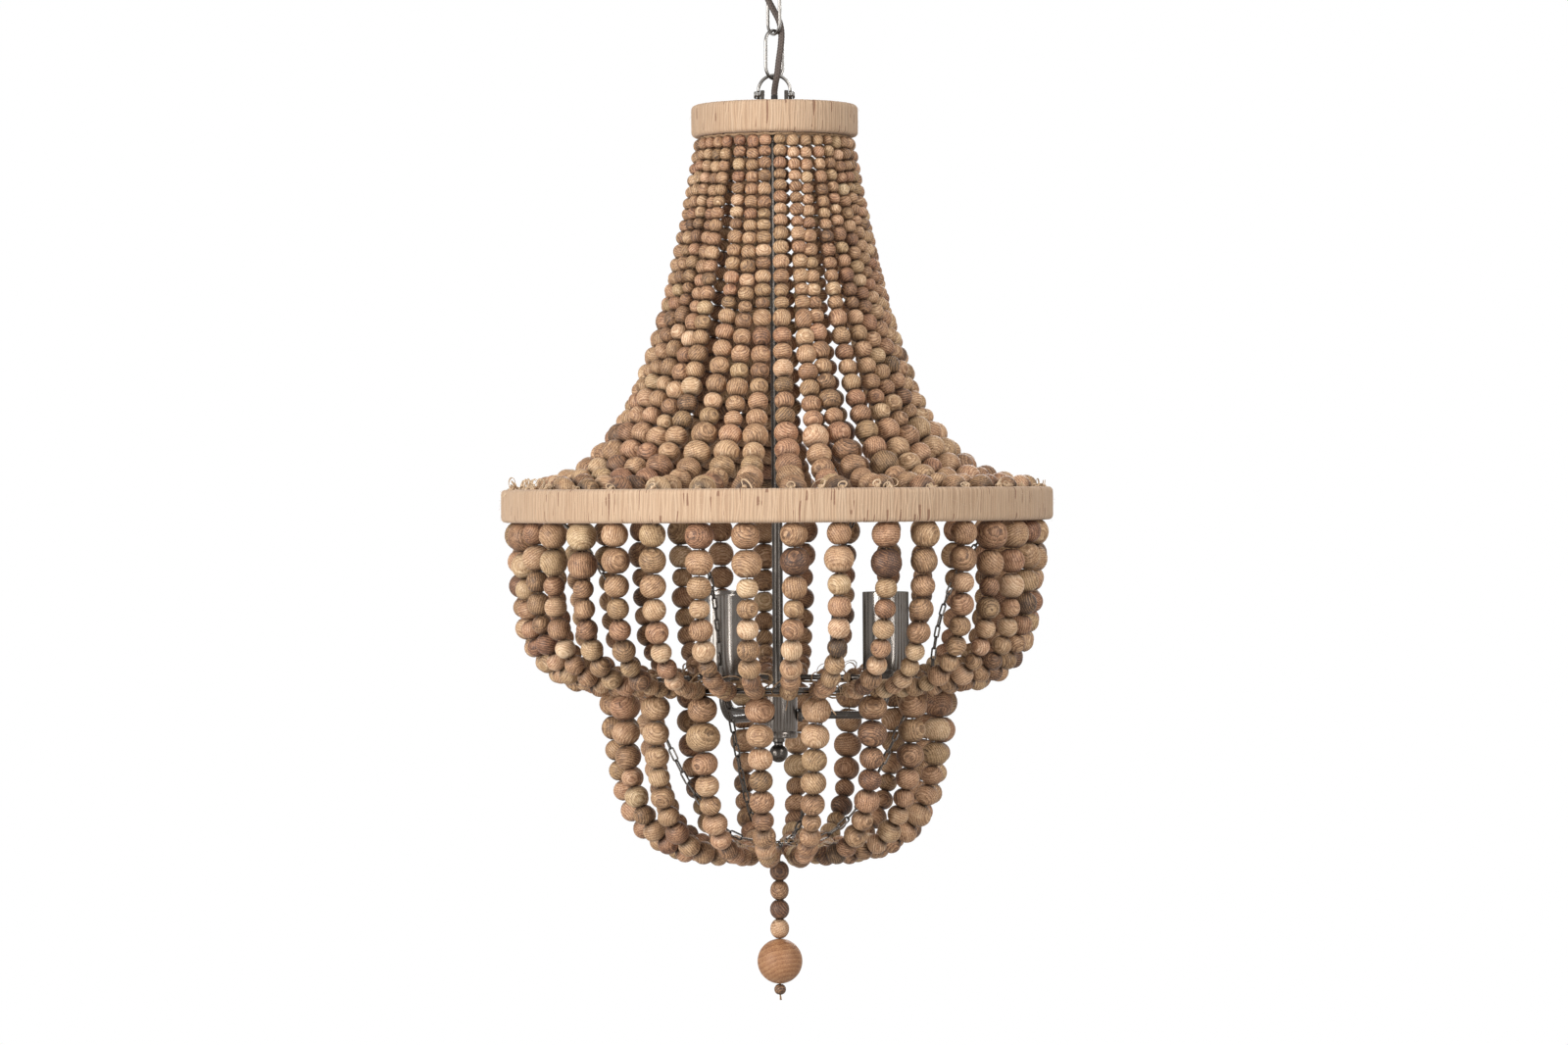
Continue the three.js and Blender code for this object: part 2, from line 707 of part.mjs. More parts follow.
// Side chains: from the top frame's spokes to the big ring, on to the hoop, and to the bottom ring
function addSideChains() {
  const bigInner = bigRingRadius - wrapThickness - seatGap;
  const tiers = {
    upper_chain: profileCurve(
      [topRingRadius - wrapThickness - sideChainInset, (bossTopZ + bossBottomZ - spokeThickness) / 2 - seatGap],
      [bigInner, bigRingZ - bigRingHeight * upperChainEndShare],
      upperChainShares,
    ),
    middle_chain: profileCurve(
      [bigInner, bigRingZ - bigRingHeight * middleChainStartShare],
      [hoopRadius, hoopZ + hoopWireRadius + seatGap],
      middleChainShares,
    ),
    lower_chain: profileCurve(
      [hoopInnerFlat - seatGap, hoopZ],
      [bottomRingRadius + bottomRingWireRadius + seatGap, bottomRingZ + bottomChainRise],
      lowerChainShares,
    ),
  };
  for (const [name, curve] of Object.entries(tiers)) {
    for (let i = 0; i < sideChainCount; i += 1) {
      const azimuth = (sideChainAzimuth + (360 / sideChainCount) * i) * degrees;
      const chain = tube(standingCurve(curve, azimuth), sideChainRadius, sideChainSteps, strandSides);
      add(`${name}_${i + 1}`, chain, steel());
    }
  }
}

// Lathe profile of one strand: string, beads and string, where shaped beads swell and close one by
// one, and the other beads run together as one tapering bar
function strandProfile(runs, lead, length) {
  const points = [[0, 0], [stringRadius, 0]];
  if (runs[0].shaped) {
    points.push([stringRadius, lead]);
  }
  const beads = runs.flatMap(({ count, diameter, shaped }) => Array(count).fill({ diameter, shaped }));
  let along = lead;
  let lastRing = -plainStep;
  beads.forEach(({ diameter, shaped }, i) => {
    const middle = along + diameter / 2;
    if (shaped) {
      points.push([(diameter / 2) * waistShare, along], [diameter / 2, middle]);
      lastRing = middle;
    } else if (middle - lastRing > plainStep || i === beads.length - 1) {
      points.push([(diameter / 2) * plainShare, middle]);
      lastRing = middle;
    }
    along += diameter;
  });
  points.push([stringRadius, along]);
  if (length - along > seatGap * 2) {
    points.push([stringRadius, length]);
  }
  points.push([0, points[points.length - 1][1]]);
  return points;
}

// Bends a straight turned strand onto its curve, in the vertical plane at the azimuth
function strandGeometry(curve, profile, sides, azimuth) {
  const points = profile.map(([radius, along]) => new THREE.Vector2(radius, along));
  const strand = new THREE.LatheGeometry(points, sides);
  const length = curve.getLength();
  const position = strand.attributes.position;
  for (let i = 0; i < position.count; i += 1) {
    const share = Math.min(position.getY(i) / length, 1);
    const point = curve.getPointAt(share);
    const tangent = curve.getTangentAt(share);
    const radius = point.x + tangent.y * position.getX(i);
    const height = point.y - tangent.x * position.getX(i);
    const side = position.getZ(i);
    const x = radius * Math.cos(azimuth) - side * Math.sin(azimuth);
    const y = radius * Math.sin(azimuth) + side * Math.cos(azimuth);
    position.setXYZ(i, x, y, height);
  }
  return strand;
}

// Strands are tied in groups: one tie string runs under the ring from strand to strand
function addStrandTier(name, { curve, runsOf, lead, count, groups, sides }) {
  const step = 360 / count;
  const perGroup = count / groups;
  const length = curve.getLength();
  for (let group = 0; group < groups; group += 1) {
    const azimuths = [];
    for (let i = 0; i < perGroup; i += 1) {
      azimuths.push((strandFirstAzimuth + step * (group * perGroup + i)) * degrees);
    }
    const strands = azimuths.map((azimuth, i) => {
      const profile = strandProfile(runsOf(group * perGroup + i), lead, length);
      return strandGeometry(curve, profile, sides, azimuth);
    });
    const knots = azimuths.map((azimuth) => polar(curve.v0.x, azimuth, curve.v0.y));
    const tie = tube(new THREE.CatmullRomCurve3(knots), tieRadius, perGroup - 1, strandSides);
    add(`${name}_${group + 1}`, joined(tie, ...strands), wood());
  }
}

function addStrands() {
  addStrandTier("upper_strands", {
    curve: profileCurve(
      [topRingRadius - wrapThickness / 2, upperTieZ],
      [bigRingInnerFlat - seatGap, bigRingZ],
      upperCurveShares,
    ),
    runsOf: () => upperBeadRuns,
    lead: upperLead,
    count: upperStrands,
    groups: upperGroups,
    sides: fineStrandSides,
  });
  addStrandTier("middle_strands", {
    curve: profileCurve(
      [bigRingInnerFlat - seatGap - tieRadius, bigRingZ - bigRingHeight + stringRadius * 2],
      [hoopRadius + hoopWireRadius + seatGap * 2, hoopZ],
      middleCurveShares,
    ),
    runsOf: () => middleBeadRuns,
    lead: middleLead,
    count: middleStrands,
    groups: middleGroups,
    sides: strandSides,
  });
  addStrandTier("lower_strands", {
    curve: profileCurve(
      [hoopRadius + hoopWireRadius, lowerTieZ],
      [bottomRingRadius + bottomRingWireRadius + seatGap, bottomRingZ - bottomRingWireRadius / 2],
      lowerCurveShares,
    ),
    runsOf: (index) => (index % 2 === 0 ? [...lowerBeadRuns, lowerExtraRun] : lowerBeadRuns),
    lead: lowerLead,
    count: lowerStrands,
    groups: lowerGroups,
    sides: strandSides,
  });
}

// Finial: a loop on the crossbar, a string of small beads, and the big ball near its end
function addFinial() {
  const wire = finialWireRadius;
  const loopTop = bottomRingZ + bottomRingWireRadius + seatGap + wire;
  const loopBottom = loopTop - finialLoopRadius * 2;
  const loop = new THREE.TorusGeometry(finialLoopRadius, wire, wireSides, linkFacets);
  loop.rotateZ(Math.PI / linkFacets).rotateX(Math.PI / 2).rotateZ(Math.PI / 2);
  add("finial_loop", loop, steel(), { height: loopTop - finialLoopRadius });

  const eyeTop = loopBottom + wire * 2 + seatGap;
  const eyeBottom = eyeTop - finialEyeRadius * 2;
  const eye = new THREE.TorusGeometry(finialEyeRadius, wire, wireSides, linkFacets);
  eye.rotateZ(Math.PI / linkFacets).rotateX(Math.PI / 2).translate(0, 0, eyeTop - finialEyeRadius);
  const firstBead = eyeBottom - finialLead - finialBeadRadius;
  const lastBead = firstBead - finialBeadPitch * (finialBeadCount - 1);
  const ballTop = lastBead - finialBeadRadius - seatGap;
  const ballZ = ballTop - finialBallRadius;
  const endBeadZ = ballZ - finialBallRadius - seatGap - finialEndBeadRadius;
  const stringEnd = endBeadZ - finialEndBeadRadius - finialTail;
  const beads = [];
  for (let i = 0; i < finialBeadCount; i += 1) {
    beads.push(turned(ballPoints(finialBeadRadius, firstBead - finialBeadPitch * i), smallFacets));
  }
  const endBead = turned(ballPoints(finialEndBeadRadius, endBeadZ), smallFacets);
  const string = rod(wire, stringEnd, eyeBottom, wireSides);
  add("finial_string", joined(eye, string, endBead, ...beads), wood());

  const ball = turned(ballPoints(finialBallRadius, ballZ, arcFacets * 2));
  const bore = rod(wire + seatGap, ballZ - finialBallRadius - cutOverrun, ballTop + cutOverrun, wireSides);
  add("finial_ball", cutBy(ball, bore), wood());
}

addStrap();
addCanopy();
addCollarLoop();
addCordGrip();
addLinks();
addCord();
addBail();
addBailScrews();
addTopHub();
addTopFrame();
addWraps();
addRod();
addArmHub();
addArms();
addBareRings();
addSideChains();
addStrands();
addFinial();

export default chandelier;
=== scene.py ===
# The looks of a beaded chandelier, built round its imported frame. Metres, +Z up; the photographed
# side faces -Y, with +X to its right.
import math

import bmesh
import bpy
import numpy as np
from mathutils import Matrix, Quaternion, Vector


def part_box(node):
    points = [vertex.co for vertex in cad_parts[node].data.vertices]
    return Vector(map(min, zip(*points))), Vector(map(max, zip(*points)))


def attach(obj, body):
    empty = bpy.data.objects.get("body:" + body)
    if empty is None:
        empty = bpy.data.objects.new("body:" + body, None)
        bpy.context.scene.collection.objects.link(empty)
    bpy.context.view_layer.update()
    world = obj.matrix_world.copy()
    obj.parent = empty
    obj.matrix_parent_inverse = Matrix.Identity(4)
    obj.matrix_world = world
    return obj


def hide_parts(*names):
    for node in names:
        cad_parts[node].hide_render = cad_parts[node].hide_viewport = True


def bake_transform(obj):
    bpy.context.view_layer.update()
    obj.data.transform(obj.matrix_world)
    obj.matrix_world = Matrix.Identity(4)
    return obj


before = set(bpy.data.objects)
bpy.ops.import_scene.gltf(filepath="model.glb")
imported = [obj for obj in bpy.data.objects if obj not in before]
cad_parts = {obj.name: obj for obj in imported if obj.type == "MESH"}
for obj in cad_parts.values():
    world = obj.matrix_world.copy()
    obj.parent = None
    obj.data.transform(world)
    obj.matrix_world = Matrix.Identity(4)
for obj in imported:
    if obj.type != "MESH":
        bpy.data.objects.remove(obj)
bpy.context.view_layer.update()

# Camera: a long lens level with the lamps, set by where the ring's axis, the horizon and the scale
# of the photograph lie. The picture leans a third of a degree, so the camera is rolled by as much.
photo_width = 1600
photo_height = 1066
metres_per_pixel = 0.000872
axis_column = 793
horizon_row = 499
camera_height = -0.544
camera_distance = 4.1
camera_roll = math.radians(0.37)
camera_reach = 50
sensor_width = 36
focal_pixels = camera_distance / metres_per_pixel
camera_pitch = math.atan((photo_height / 2 - horizon_row) / focal_pixels)

camera_data = bpy.data.cameras.new("camera")
camera_data.sensor_fit = "HORIZONTAL"
camera_data.sensor_width = sensor_width
camera_data.lens = focal_pixels / photo_width * sensor_width
camera_data.clip_end = camera_reach
camera = bpy.data.objects.new("camera", camera_data)
bpy.context.scene.collection.objects.link(camera)
camera_side = (photo_width / 2 - axis_column) * metres_per_pixel
camera.matrix_world = (
    Matrix.Translation((camera_side, -camera_distance, camera_height))
    @ Matrix.Rotation(math.pi / 2 - camera_pitch, 4, "X")
    @ Matrix.Rotation(-camera_roll, 4, "Z")
)
bpy.context.scene.camera = camera
bpy.context.scene.view_settings.view_transform = "Standard"


# Supply cord: a round twin lead in a dark brown braided cover. It leaves the grip in the canopy,
# winds down through the chain's links and goes into the top of the rod. It is made in four
# stretches, split where the cord passes the chain's links.
mm = 0.001


def paint(red, green, blue):
    """A colour given as screen values from 0 to 255, as the shader's linear colour."""
    linear = [v / 12.92 if v <= 0.04045 else ((v + 0.055) / 1.055) ** 2.4
              for v in (red / 255, green / 255, blue / 255)]
    return (*linear, 1)


class Value:
    """A shader socket that takes part in sums: each operator adds its Math node."""

    def __init__(self, finish, socket):
        self.finish = finish
        self.socket = socket

    def math(self, operation, *terms):
        return self.finish.node("Math", {"operation": operation}, dict(enumerate(terms)))

    def __add__(self, other):
        return self.math("ADD", self, other)

    def __sub__(self, other):
        return self.math("SUBTRACT", self, other)

    def __rsub__(self, other):
        return self.math("SUBTRACT", other, self)

    def __mul__(self, other):
        return self.math("MULTIPLY", self, other)

    def __truediv__(self, other):
        return self.math("DIVIDE", self, other)

    __radd__ = __add__
    __rmul__ = __mul__

    def between(self, low, high):
        """0 up to low, 1 from high, and a smooth step between them."""
        return self.finish.node("MapRange", {"interpolation_type": "SMOOTHSTEP"},
                                {"Value": self, "From Min": low, "From Max": high})


class Finish:
    """The nodes of a material, or of the world when that is given."""

    def __init__(self, name, world=None):
        self.material = world or bpy.data.materials.new(name)
        self.material.use_nodes = True
        self.tree = self.material.node_tree
        self.tree.nodes.clear()

    def node(self, kind, settings=None, sockets=None, output=0):
        """Adds a node: its settings first, then its sockets, and gives back one of its outputs."""
        made = self.tree.nodes.new("ShaderNode" + kind)
        for name, value in (settings or {}).items():
            if name == "stops":
                ramp = made.color_ramp.elements
                while len(ramp) < len(value):
                    ramp.new(0.5)
                for element, (place, colour) in zip(ramp, value):
                    element.position = place
                    element.color = colour
            else:
                setattr(made, name, value)
        for name, value in (sockets or {}).items():
            if isinstance(value, Value):
                self.tree.links.new(value.socket, made.inputs[name])
            else:
                made.inputs[name].default_value = value
        return Value(self, made.outputs[output]) if made.outputs else made

    def place(self):
        """Where a point lies on its own piece, in metres."""
        return self.node("TexCoord", output="Object")

    def mark(self, name, output="Fac"):
        """A value that the mesh carries at its corners."""
        return self.node("Attribute", {"attribute_name": name}, output=output)

    def stretched(self, vector, scales):
        """A vector with each of its three parts multiplied by its own number."""
        return self.node("VectorMath", {"operation": "MULTIPLY"}, {0: vector, 1: scales})

    def noise(self, vector, scale, detail=2, roughness=0.5):
        return self.node("TexNoise", {}, {"Vector": vector, "Scale": scale, "Detail": detail,
                                          "Roughness": roughness})

    def mix(self, share, first, second):
        """A colour between two others."""
        return self.node("Mix", {"data_type": "RGBA"}, {0: share, 6: first, 7: second}, output=2)

    def ramp(self, share, stops):
        """A colour from a row of stops, each a share from 0 to 1 and its colour."""
        return self.node("ValToRGB", {"stops": stops}, {0: share})

    def seen(self):
        """1 where the camera, a mirror or a clear body looks, and 0 for the light on the object."""
        camera, mirror, clear = (self.node("LightPath", output=f"Is {ray} Ray")
                                 for ray in ("Camera", "Glossy", "Transmission"))
        return camera.math("MAXIMUM", camera.math("MAXIMUM", camera, mirror), clear)

    def bump(self, height, strength, distance):
        return self.node("Bump", {}, {"Strength": strength, "Distance": distance, "Height": height})

    def surface(self, **sockets):
        """The Principled shader, its sockets written with _ for a space, and the material made."""
        named = {name.replace("_", " "): value for name, value in sockets.items()}
        shader = self.node("BsdfPrincipled", {}, named)
        self.node("OutputMaterial", {}, {"Surface": shader})
        return self.material


def soften(mesh, edge_angle=40):
    """Smooth shading, but for edges sharper than an angle in degrees."""
    mesh.shade_smooth()
    mesh.set_sharp_from_angle(angle=math.radians(edge_angle))


class Shape:
    """The corners and faces of one piece, gathered part by part, with marks at the corners."""

    def __init__(self):
        self.corners = []
        self.faces = []
        self.marks = {}
        self.count = 0

    def add(self, corners, faces, **marks):
        self.corners.append(np.asarray(corners, float))
        self.faces.extend([[c + self.count for c in face] for face in faces])
        for name, values in marks.items():
            self.marks.setdefault(name, []).append(np.asarray(values, float))
        self.count += len(corners)
        return self

    def piece(self, name, material, edge_angle=40):
        mesh = bpy.data.meshes.new(name)
        mesh.from_pydata(np.concatenate(self.corners).tolist(), [], self.faces)
        for mark, values in self.marks.items():
            values = np.concatenate(values)
            kind = "FLOAT" if values.ndim == 1 else "FLOAT_VECTOR"
            attribute = mesh.attributes.new(mark, kind, "POINT")
            attribute.data.foreach_set("value" if values.ndim == 1 else "vector", values.ravel())
        soften(mesh, edge_angle)
        mesh.materials.append(material)
        made = bpy.data.objects.new(name, mesh)
        bpy.context.scene.collection.objects.link(made)
        return made


def grid_faces(rows, columns, closed_rows=False):
    """Four-sided faces over rings of corners: each row is a ring, and closed_rows joins the last
    row to the first."""
    faces = []
    for row in range(rows if closed_rows else rows - 1):
        low = row * columns
        high = ((row + 1) % rows) * columns
        for column in range(columns):
            beside = (column + 1) % columns
            faces.append([low + column, low + beside, high + beside, high + column])
    return faces


def smooth_route(points, step):
    """Points an even step apart on a smooth curve through the given ones."""
    points = np.asarray(points, float)
    padded = np.vstack([2 * points[0] - points[1], points, 2 * points[-1] - points[-2]])
    steps_between = 16
    fine = []
    for a, b, c, d in zip(padded, padded[1:], padded[2:], padded[3:]):
        for t in np.linspace(0, 1, steps_between, endpoint=False):
            fine.append(0.5 * (2 * b + (c - a) * t + (2 * a - 5 * b + 4 * c - d) * t ** 2
                               + (3 * b - a - 3 * c + d) * t ** 3))
    fine.append(points[-1])
    fine = np.array(fine)
    along = np.concatenate([[0], np.cumsum(np.linalg.norm(np.diff(fine, axis=0), axis=1))])
    count = max(2, round(along[-1] / step))
    even = np.linspace(0, along[-1], count + 1)
    return np.stack([np.interp(even, along, fine[:, axis]) for axis in range(3)], axis=1)


def direction(vectors):
    """Vectors, one or a table of them, made one long."""
    return vectors / np.linalg.norm(vectors, axis=-1, keepdims=True)


def frames(route, closed=False):
    """The direction of a route at each point, and two directions across it that don't twist."""
    if closed:
        ahead = direction(np.roll(route, -1, axis=0) - np.roll(route, 1, axis=0))
    else:
        ahead = direction(np.gradient(route, axis=0))
    least = np.argmin(np.abs(ahead[0]))
    sides = [direction(np.cross(ahead[0], np.eye(3)[least]))]
    for step in ahead[1:]:
        sides.append(direction(sides[-1] - step * np.dot(sides[-1], step)))
    sides = np.array(sides)
    return ahead, sides, np.cross(ahead, sides)


def whole_turn(count):
    """Angles an even step apart, once round."""
    return np.linspace(0, 2 * math.pi, count, endpoint=False)


def tube(shape, route, radius, sides=12, closed=False, twist=0, **marks):
    """A round wire along a route. radius is one number, one for each point, or a table of them."""
    route = np.asarray(route, float)
    ahead, across, over = frames(route, closed)
    angles = whole_turn(sides)
    turn = angles[None, :] + twist * np.arange(len(route))[:, None]
    radii = np.broadcast_to(np.asarray(radius, float).reshape(-1, 1)
                            if np.ndim(radius) == 1 else radius, turn.shape)[..., None]
    rings = (route[:, None] + radii * (np.cos(turn)[..., None] * across[:, None]
                                       + np.sin(turn)[..., None] * over[:, None]))
    faces = grid_faces(len(route), sides, closed)
    if not closed:
        last = (len(route) - 1) * sides
        faces.append(list(range(sides))[::-1])
        faces.append(list(range(last, last + sides)))
    shape.add(rings.reshape(-1, 3), faces, **marks)
    return shape


def fit(piece, body, slot, *nodes):
    """The piece rides on its body and stands for the named nodes, whose parts it hides. slot is not
    used.
    """
    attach(piece, body)
    if nodes:
        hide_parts(*nodes)
    return piece


braid = Finish("cord_braid")
plait = braid.mark("plait")
thread = braid.noise(braid.stretched(braid.place(), (1, 1, 0.4)), 1400, 3)
# The low parts between the plaits are painted darker: painted shade in the hollows.
braid_cover = braid.surface(
    Base_Color=braid.mix(plait * (0.5 + thread * 0.8), paint(30, 24, 21), paint(92, 77, 68)),
    Roughness=0.78 - plait * 0.12,
    Sheen_Weight=0.25,
    Normal=braid.bump(thread, 0.3, 0.0002),
)

cord_radius = 2.8 * mm
cord_points = [
    (15.4, -2.5, -20), (15.4, -2.5, -34), (14.4, -2.4, -44), (12.2, -2, -52), (9, -1.5, -60),
    (4.6, -0.7, -69), (0, 0.2, -78), (-4.6, 1.2, -88), (-6.9, 1.9, -98), (-5.2, 1.4, -108),
    (-0.2, 0.4, -118), (4.6, -0.5, -128), (6.6, -1.1, -138), (6, -2.6, -150), (4.2, -4.4, -163),
    (2.6, -5.8, -176), (1.2, -3.6, -183), (0.1, -0.4, -190), (0, 0, -193.6),
]
cord_step = 0.7 * mm
cord_sides = 32
plait_strands = 8
plait_pitch = 11 * mm
plait_depth = 0.28 * mm
cord_route = smooth_route([[c * mm for c in point] for point in cord_points], cord_step)
cord_stretches = [
    ("braided_cord_top", "cord_top", "canopy", "link_top", "link_top_swing", 6),
    ("braided_cord_upper", "cord_upper", "link_top", "link_middle", "link_middle_swing", 10),
    ("braided_cord_lower", "cord_lower", "link_middle", "link_bottom", "link_bottom_swing", 13),
    ("braided_cord_bottom", "cord_bottom", "link_bottom", "bail", "bail_swing", 18),
]
stretch_start = 0
for name, node, above, below, joint, last_point in cord_stretches:
    end_place = np.array(cord_points[last_point]) * mm
    stretch_end = int(np.argmin(np.linalg.norm(cord_route - end_place, axis=1)))
    along = np.arange(stretch_start, stretch_end + 1) * cord_step
    turn = whole_turn(cord_sides)[None] * plait_strands / 2
    lay = along[:, None] / plait_pitch * math.pi * plait_strands
    right_hand = np.cos(turn + lay)
    left_hand = np.cos(turn - lay)
    raised = np.maximum(right_hand, left_hand) * 0.5 + 0.5
    stretch = tube(Shape(), cord_route[stretch_start:stretch_end + 1],
                   cord_radius + plait_depth * (raised - 0.5), cord_sides, plait=raised.ravel())
    cover = stretch.piece(name, braid_cover, edge_angle=80)
    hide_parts(node)
    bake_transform(cover)
    stretch_start = stretch_end
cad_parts["cord_in_rod"].data.materials[0] = braid_cover


# Studio: a pale floor under the hanging lamp and a white surround, with large soft lamps in front,
# overhead, to the sides and behind. The floor fades into the white towards its rim.
floor_height = -2
floor_radius = 2
floor_glow = 0.35
fade_start = 0.45
fade_end = 0.98


def around(radius, angle, height):
    """Points at a radius, at angles round the upright axis and at a height."""
    return np.stack([radius * np.cos(angle), radius * np.sin(angle), height + 0 * angle], axis=-1)


floor_finish = Finish("floor")
floor_place = floor_finish.place()
floor_reach = floor_finish.node("VectorMath", {"operation": "LENGTH"}, {0: floor_place}, "Value")
floor_tone = floor_finish.mix(floor_finish.noise(floor_place, 3), paint(236, 235, 232),
                              paint(240, 239, 237))
floor_shader = floor_finish.node("BsdfPrincipled", {}, {"Base Color": floor_tone, "Roughness": 0.7})
floor_seen = floor_finish.seen()
rim_glow = floor_finish.node("Emission", {}, {"Color": (1, 1, 1, 1), "Strength": floor_seen})
distance_faded = (floor_reach / floor_radius).between(fade_start, fade_end)
floor_fade = distance_faded * (1 - floor_glow) + floor_glow
faded = floor_finish.node("MixShader", {}, {0: floor_fade, 1: floor_shader, 2: rim_glow})
floor_finish.node("OutputMaterial", {}, {"Surface": faded})
floor_corners = around(floor_radius, whole_turn(96), 0)
floor = Shape().add(floor_corners, [list(range(len(floor_corners)))])
floor = floor.piece("floor", floor_finish.material)
floor.location.z = floor_height

world = bpy.data.worlds.new("studio")
bpy.context.scene.world = world
surround = Finish("surround", world)
shown = surround.seen()
ambient = 0.03
sky_strength = ambient + shown * (1 - ambient)
sky = surround.node("Background", {}, {"Color": (1, 1, 1, 1), "Strength": sky_strength})
surround.node("OutputWorld", {}, {"Surface": sky})

lamp_aim = Vector((0, 0, -0.6))
soft_lamps = {
    "key_lamp": ((-2.4, -1.9, 0.2), 1.2, 1.2, 60),
    "fill_lamp": ((2.3, -2.1, 1.1), 1.2, 1.2, 46),
    "top_lamp": ((0.2, -0.8, 1.7), 1.6, 1.6, 12),
    "left_panel": ((-2.1, -2.25, -0.7), 1.8, 2.4, 62),
    "right_strip": ((1.7, -2.4, -0.5), 0.55, 2.4, 32),
    "back_lamp": ((0.5, 2.8, 0.5), 1.6, 1.6, 55),
}
for name, (place, width, height, power) in soft_lamps.items():
    lamp_data = bpy.data.lights.new(name, "AREA")
    lamp_data.shape = "RECTANGLE"
    lamp_data.size = width
    lamp_data.size_y = height
    lamp_data.energy = power
    lamp = bpy.data.objects.new(name, lamp_data)
    bpy.context.scene.collection.objects.link(lamp)
    lamp.location = place
    lamp.rotation_euler = (lamp_aim - Vector(place)).to_track_quat("-Z", "Y").to_euler()


# Ceiling fitting: a steel strap screwed to the ceiling box, a spun canopy held over it by a collar
# on the strap's stud, and a moulded grip where the cord comes out.
def gunmetal(name, dark, light, roughness, edge=1):
    """Plated steel: fine brushed lines, soft clouds and small worn spots, darker at its edges."""
    finish = Finish(name)
    place = finish.place()
    lines = finish.noise(finish.stretched(place, (60, 60, 900)), 1, 2)
    clouds = finish.noise(place, 38, 3)
    wear = finish.noise(place, 210, 4, 0.6).between(0.6, 0.78)
    colour = finish.mix(clouds * 0.7 + lines * 0.15, dark, light)
    return finish.surface(
        Base_Color=finish.mix(wear * 0.35, colour, paint(150, 145, 138)),
        Metallic=1.0,
        Specular_Tint=(edge, edge, edge, 1),
        Roughness=roughness + lines * 0.06 + clouds * 0.06,
        Normal=finish.bump(lines, 0.04, 0.0002),
    )


def bent(corners, steps=6):
    """A closed profile of (radius, height, bend) corners, each rounded to its own bend radius."""
    result = []
    for i, (radius, height, bend) in enumerate(corners):
        point = np.array((radius, height))
        if not bend:
            result.append(point)
            continue
        start = direction(np.array(corners[i - 1][:2]) - point)
        end = direction(np.array(corners[(i + 1) % len(corners)][:2]) - point)
        open_angle = math.acos(np.clip(start @ end, -1, 1))
        reach = bend / math.tan(open_angle / 2)
        for t in np.linspace(0, 1, steps + 1):
            near_start = point + start * reach
            near_end = point + end * reach
            result.append((1 - t) ** 2 * near_start + 2 * t * (1 - t) * point + t * t * near_end)
    return result


def flat_ring(inner, outer, low, high, bends, steps=3):
    """A ring's section, with the bends of its inner foot, outer foot, outer top and inner top."""
    corners = ((inner, low), (outer, low), (outer, high), (inner, high))
    return bent([(*corner, bend) for corner, bend in zip(corners, bends)], steps)


def placed(corners, place):
    """Corners moved by a 4 by 4 matrix, or left alone."""
    if place is None:
        return np.asarray(corners, float)
    turn = np.array(place)
    return np.asarray(corners, float) @ turn[:3, :3].T + turn[:3, 3]


def turned(shape, profile, segments=64, place=None, closed=False):
    """A body turned round Z from (radius, height) points; a point on the axis becomes its pole."""
    angles = whole_turn(segments)
    corners = []
    rings = []
    for radius, height in profile:
        pole = radius < 1e-7
        rings.append((len(corners), pole))
        corners.extend([(0, 0, height)] if pole else around(radius, angles, height))
    faces = []
    pairs = list(zip(rings, rings[1:])) + ([(rings[-1], rings[0])] if closed else [])
    for (low, low_pole), (high, high_pole) in pairs:
        for i in range(segments):
            j = (i + 1) % segments
            foot = [low] if low_pole else [low + i, low + j]
            head = [high] if high_pole else [high + j, high + i]
            faces.append(foot + head)
    return shape.add(placed(corners, place), faces)


def slab(shape, outline, low, high, place=None):
    """A flat plate from an outline in X and Y, between two heights."""
    count = len(outline)
    corners = [(x, y, low) for x, y in outline] + [(x, y, high) for x, y in outline]
    faces = [list(range(count))[::-1], list(range(count, 2 * count))]
    for i in range(count):
        j = (i + 1) % count
        faces.append([i, j, count + j, count + i])
    return shape.add(placed(corners, place), faces)


def oblong(half_length, half_width, corner, steps=6):
    """The outline of a rectangle with round corners."""
    outline = []
    for quarter, (side_x, side_y) in enumerate(((1, 1), (-1, 1), (-1, -1), (1, -1))):
        for step in range(steps + 1):
            angle = math.pi / 2 * (quarter + step / steps)
            outline.append((side_x * (half_length - corner) + corner * math.cos(angle),
                            side_y * (half_width - corner) + corner * math.sin(angle)))
    return outline


def cut_from(piece, tool):
    """Cuts a shape out of a piece."""
    cutter = tool.piece(piece.name + "_cutter", piece.data.materials[0])
    boolean = piece.modifiers.new("cut", "BOOLEAN")
    boolean.operation = "DIFFERENCE"
    boolean.solver = "EXACT"
    boolean.object = cutter
    depsgraph = bpy.context.evaluated_depsgraph_get()
    cut = bpy.data.meshes.new_from_object(piece.evaluated_get(depsgraph))
    piece.modifiers.clear()
    piece.data = cut
    soften(cut)
    bpy.data.objects.remove(cutter)


def across(x, height):
    """The place of a body turned round an axis along X."""
    return Matrix.Translation((x, 0, height)) @ Matrix.Rotation(math.pi / 2, 4, "Y")


dark_steel = gunmetal("dark_steel", paint(70, 65, 61), paint(108, 102, 96), 0.2)
plated_steel = gunmetal("plated_steel", paint(104, 100, 96), paint(158, 154, 149), 0.22)
polished_steel = gunmetal("polished_steel", paint(116, 110, 105), paint(150, 144, 137), 0.14, 0.25)

moulded = Finish("black_plastic")
speckle = moulded.noise(moulded.place(), 900, 3)
black_plastic = moulded.surface(
    Base_Color=moulded.mix(speckle, paint(24, 24, 23), paint(38, 37, 35)),
    Roughness=0.42 + speckle * 0.2,
    Normal=moulded.bump(speckle, 0.25, 0.0002),
)

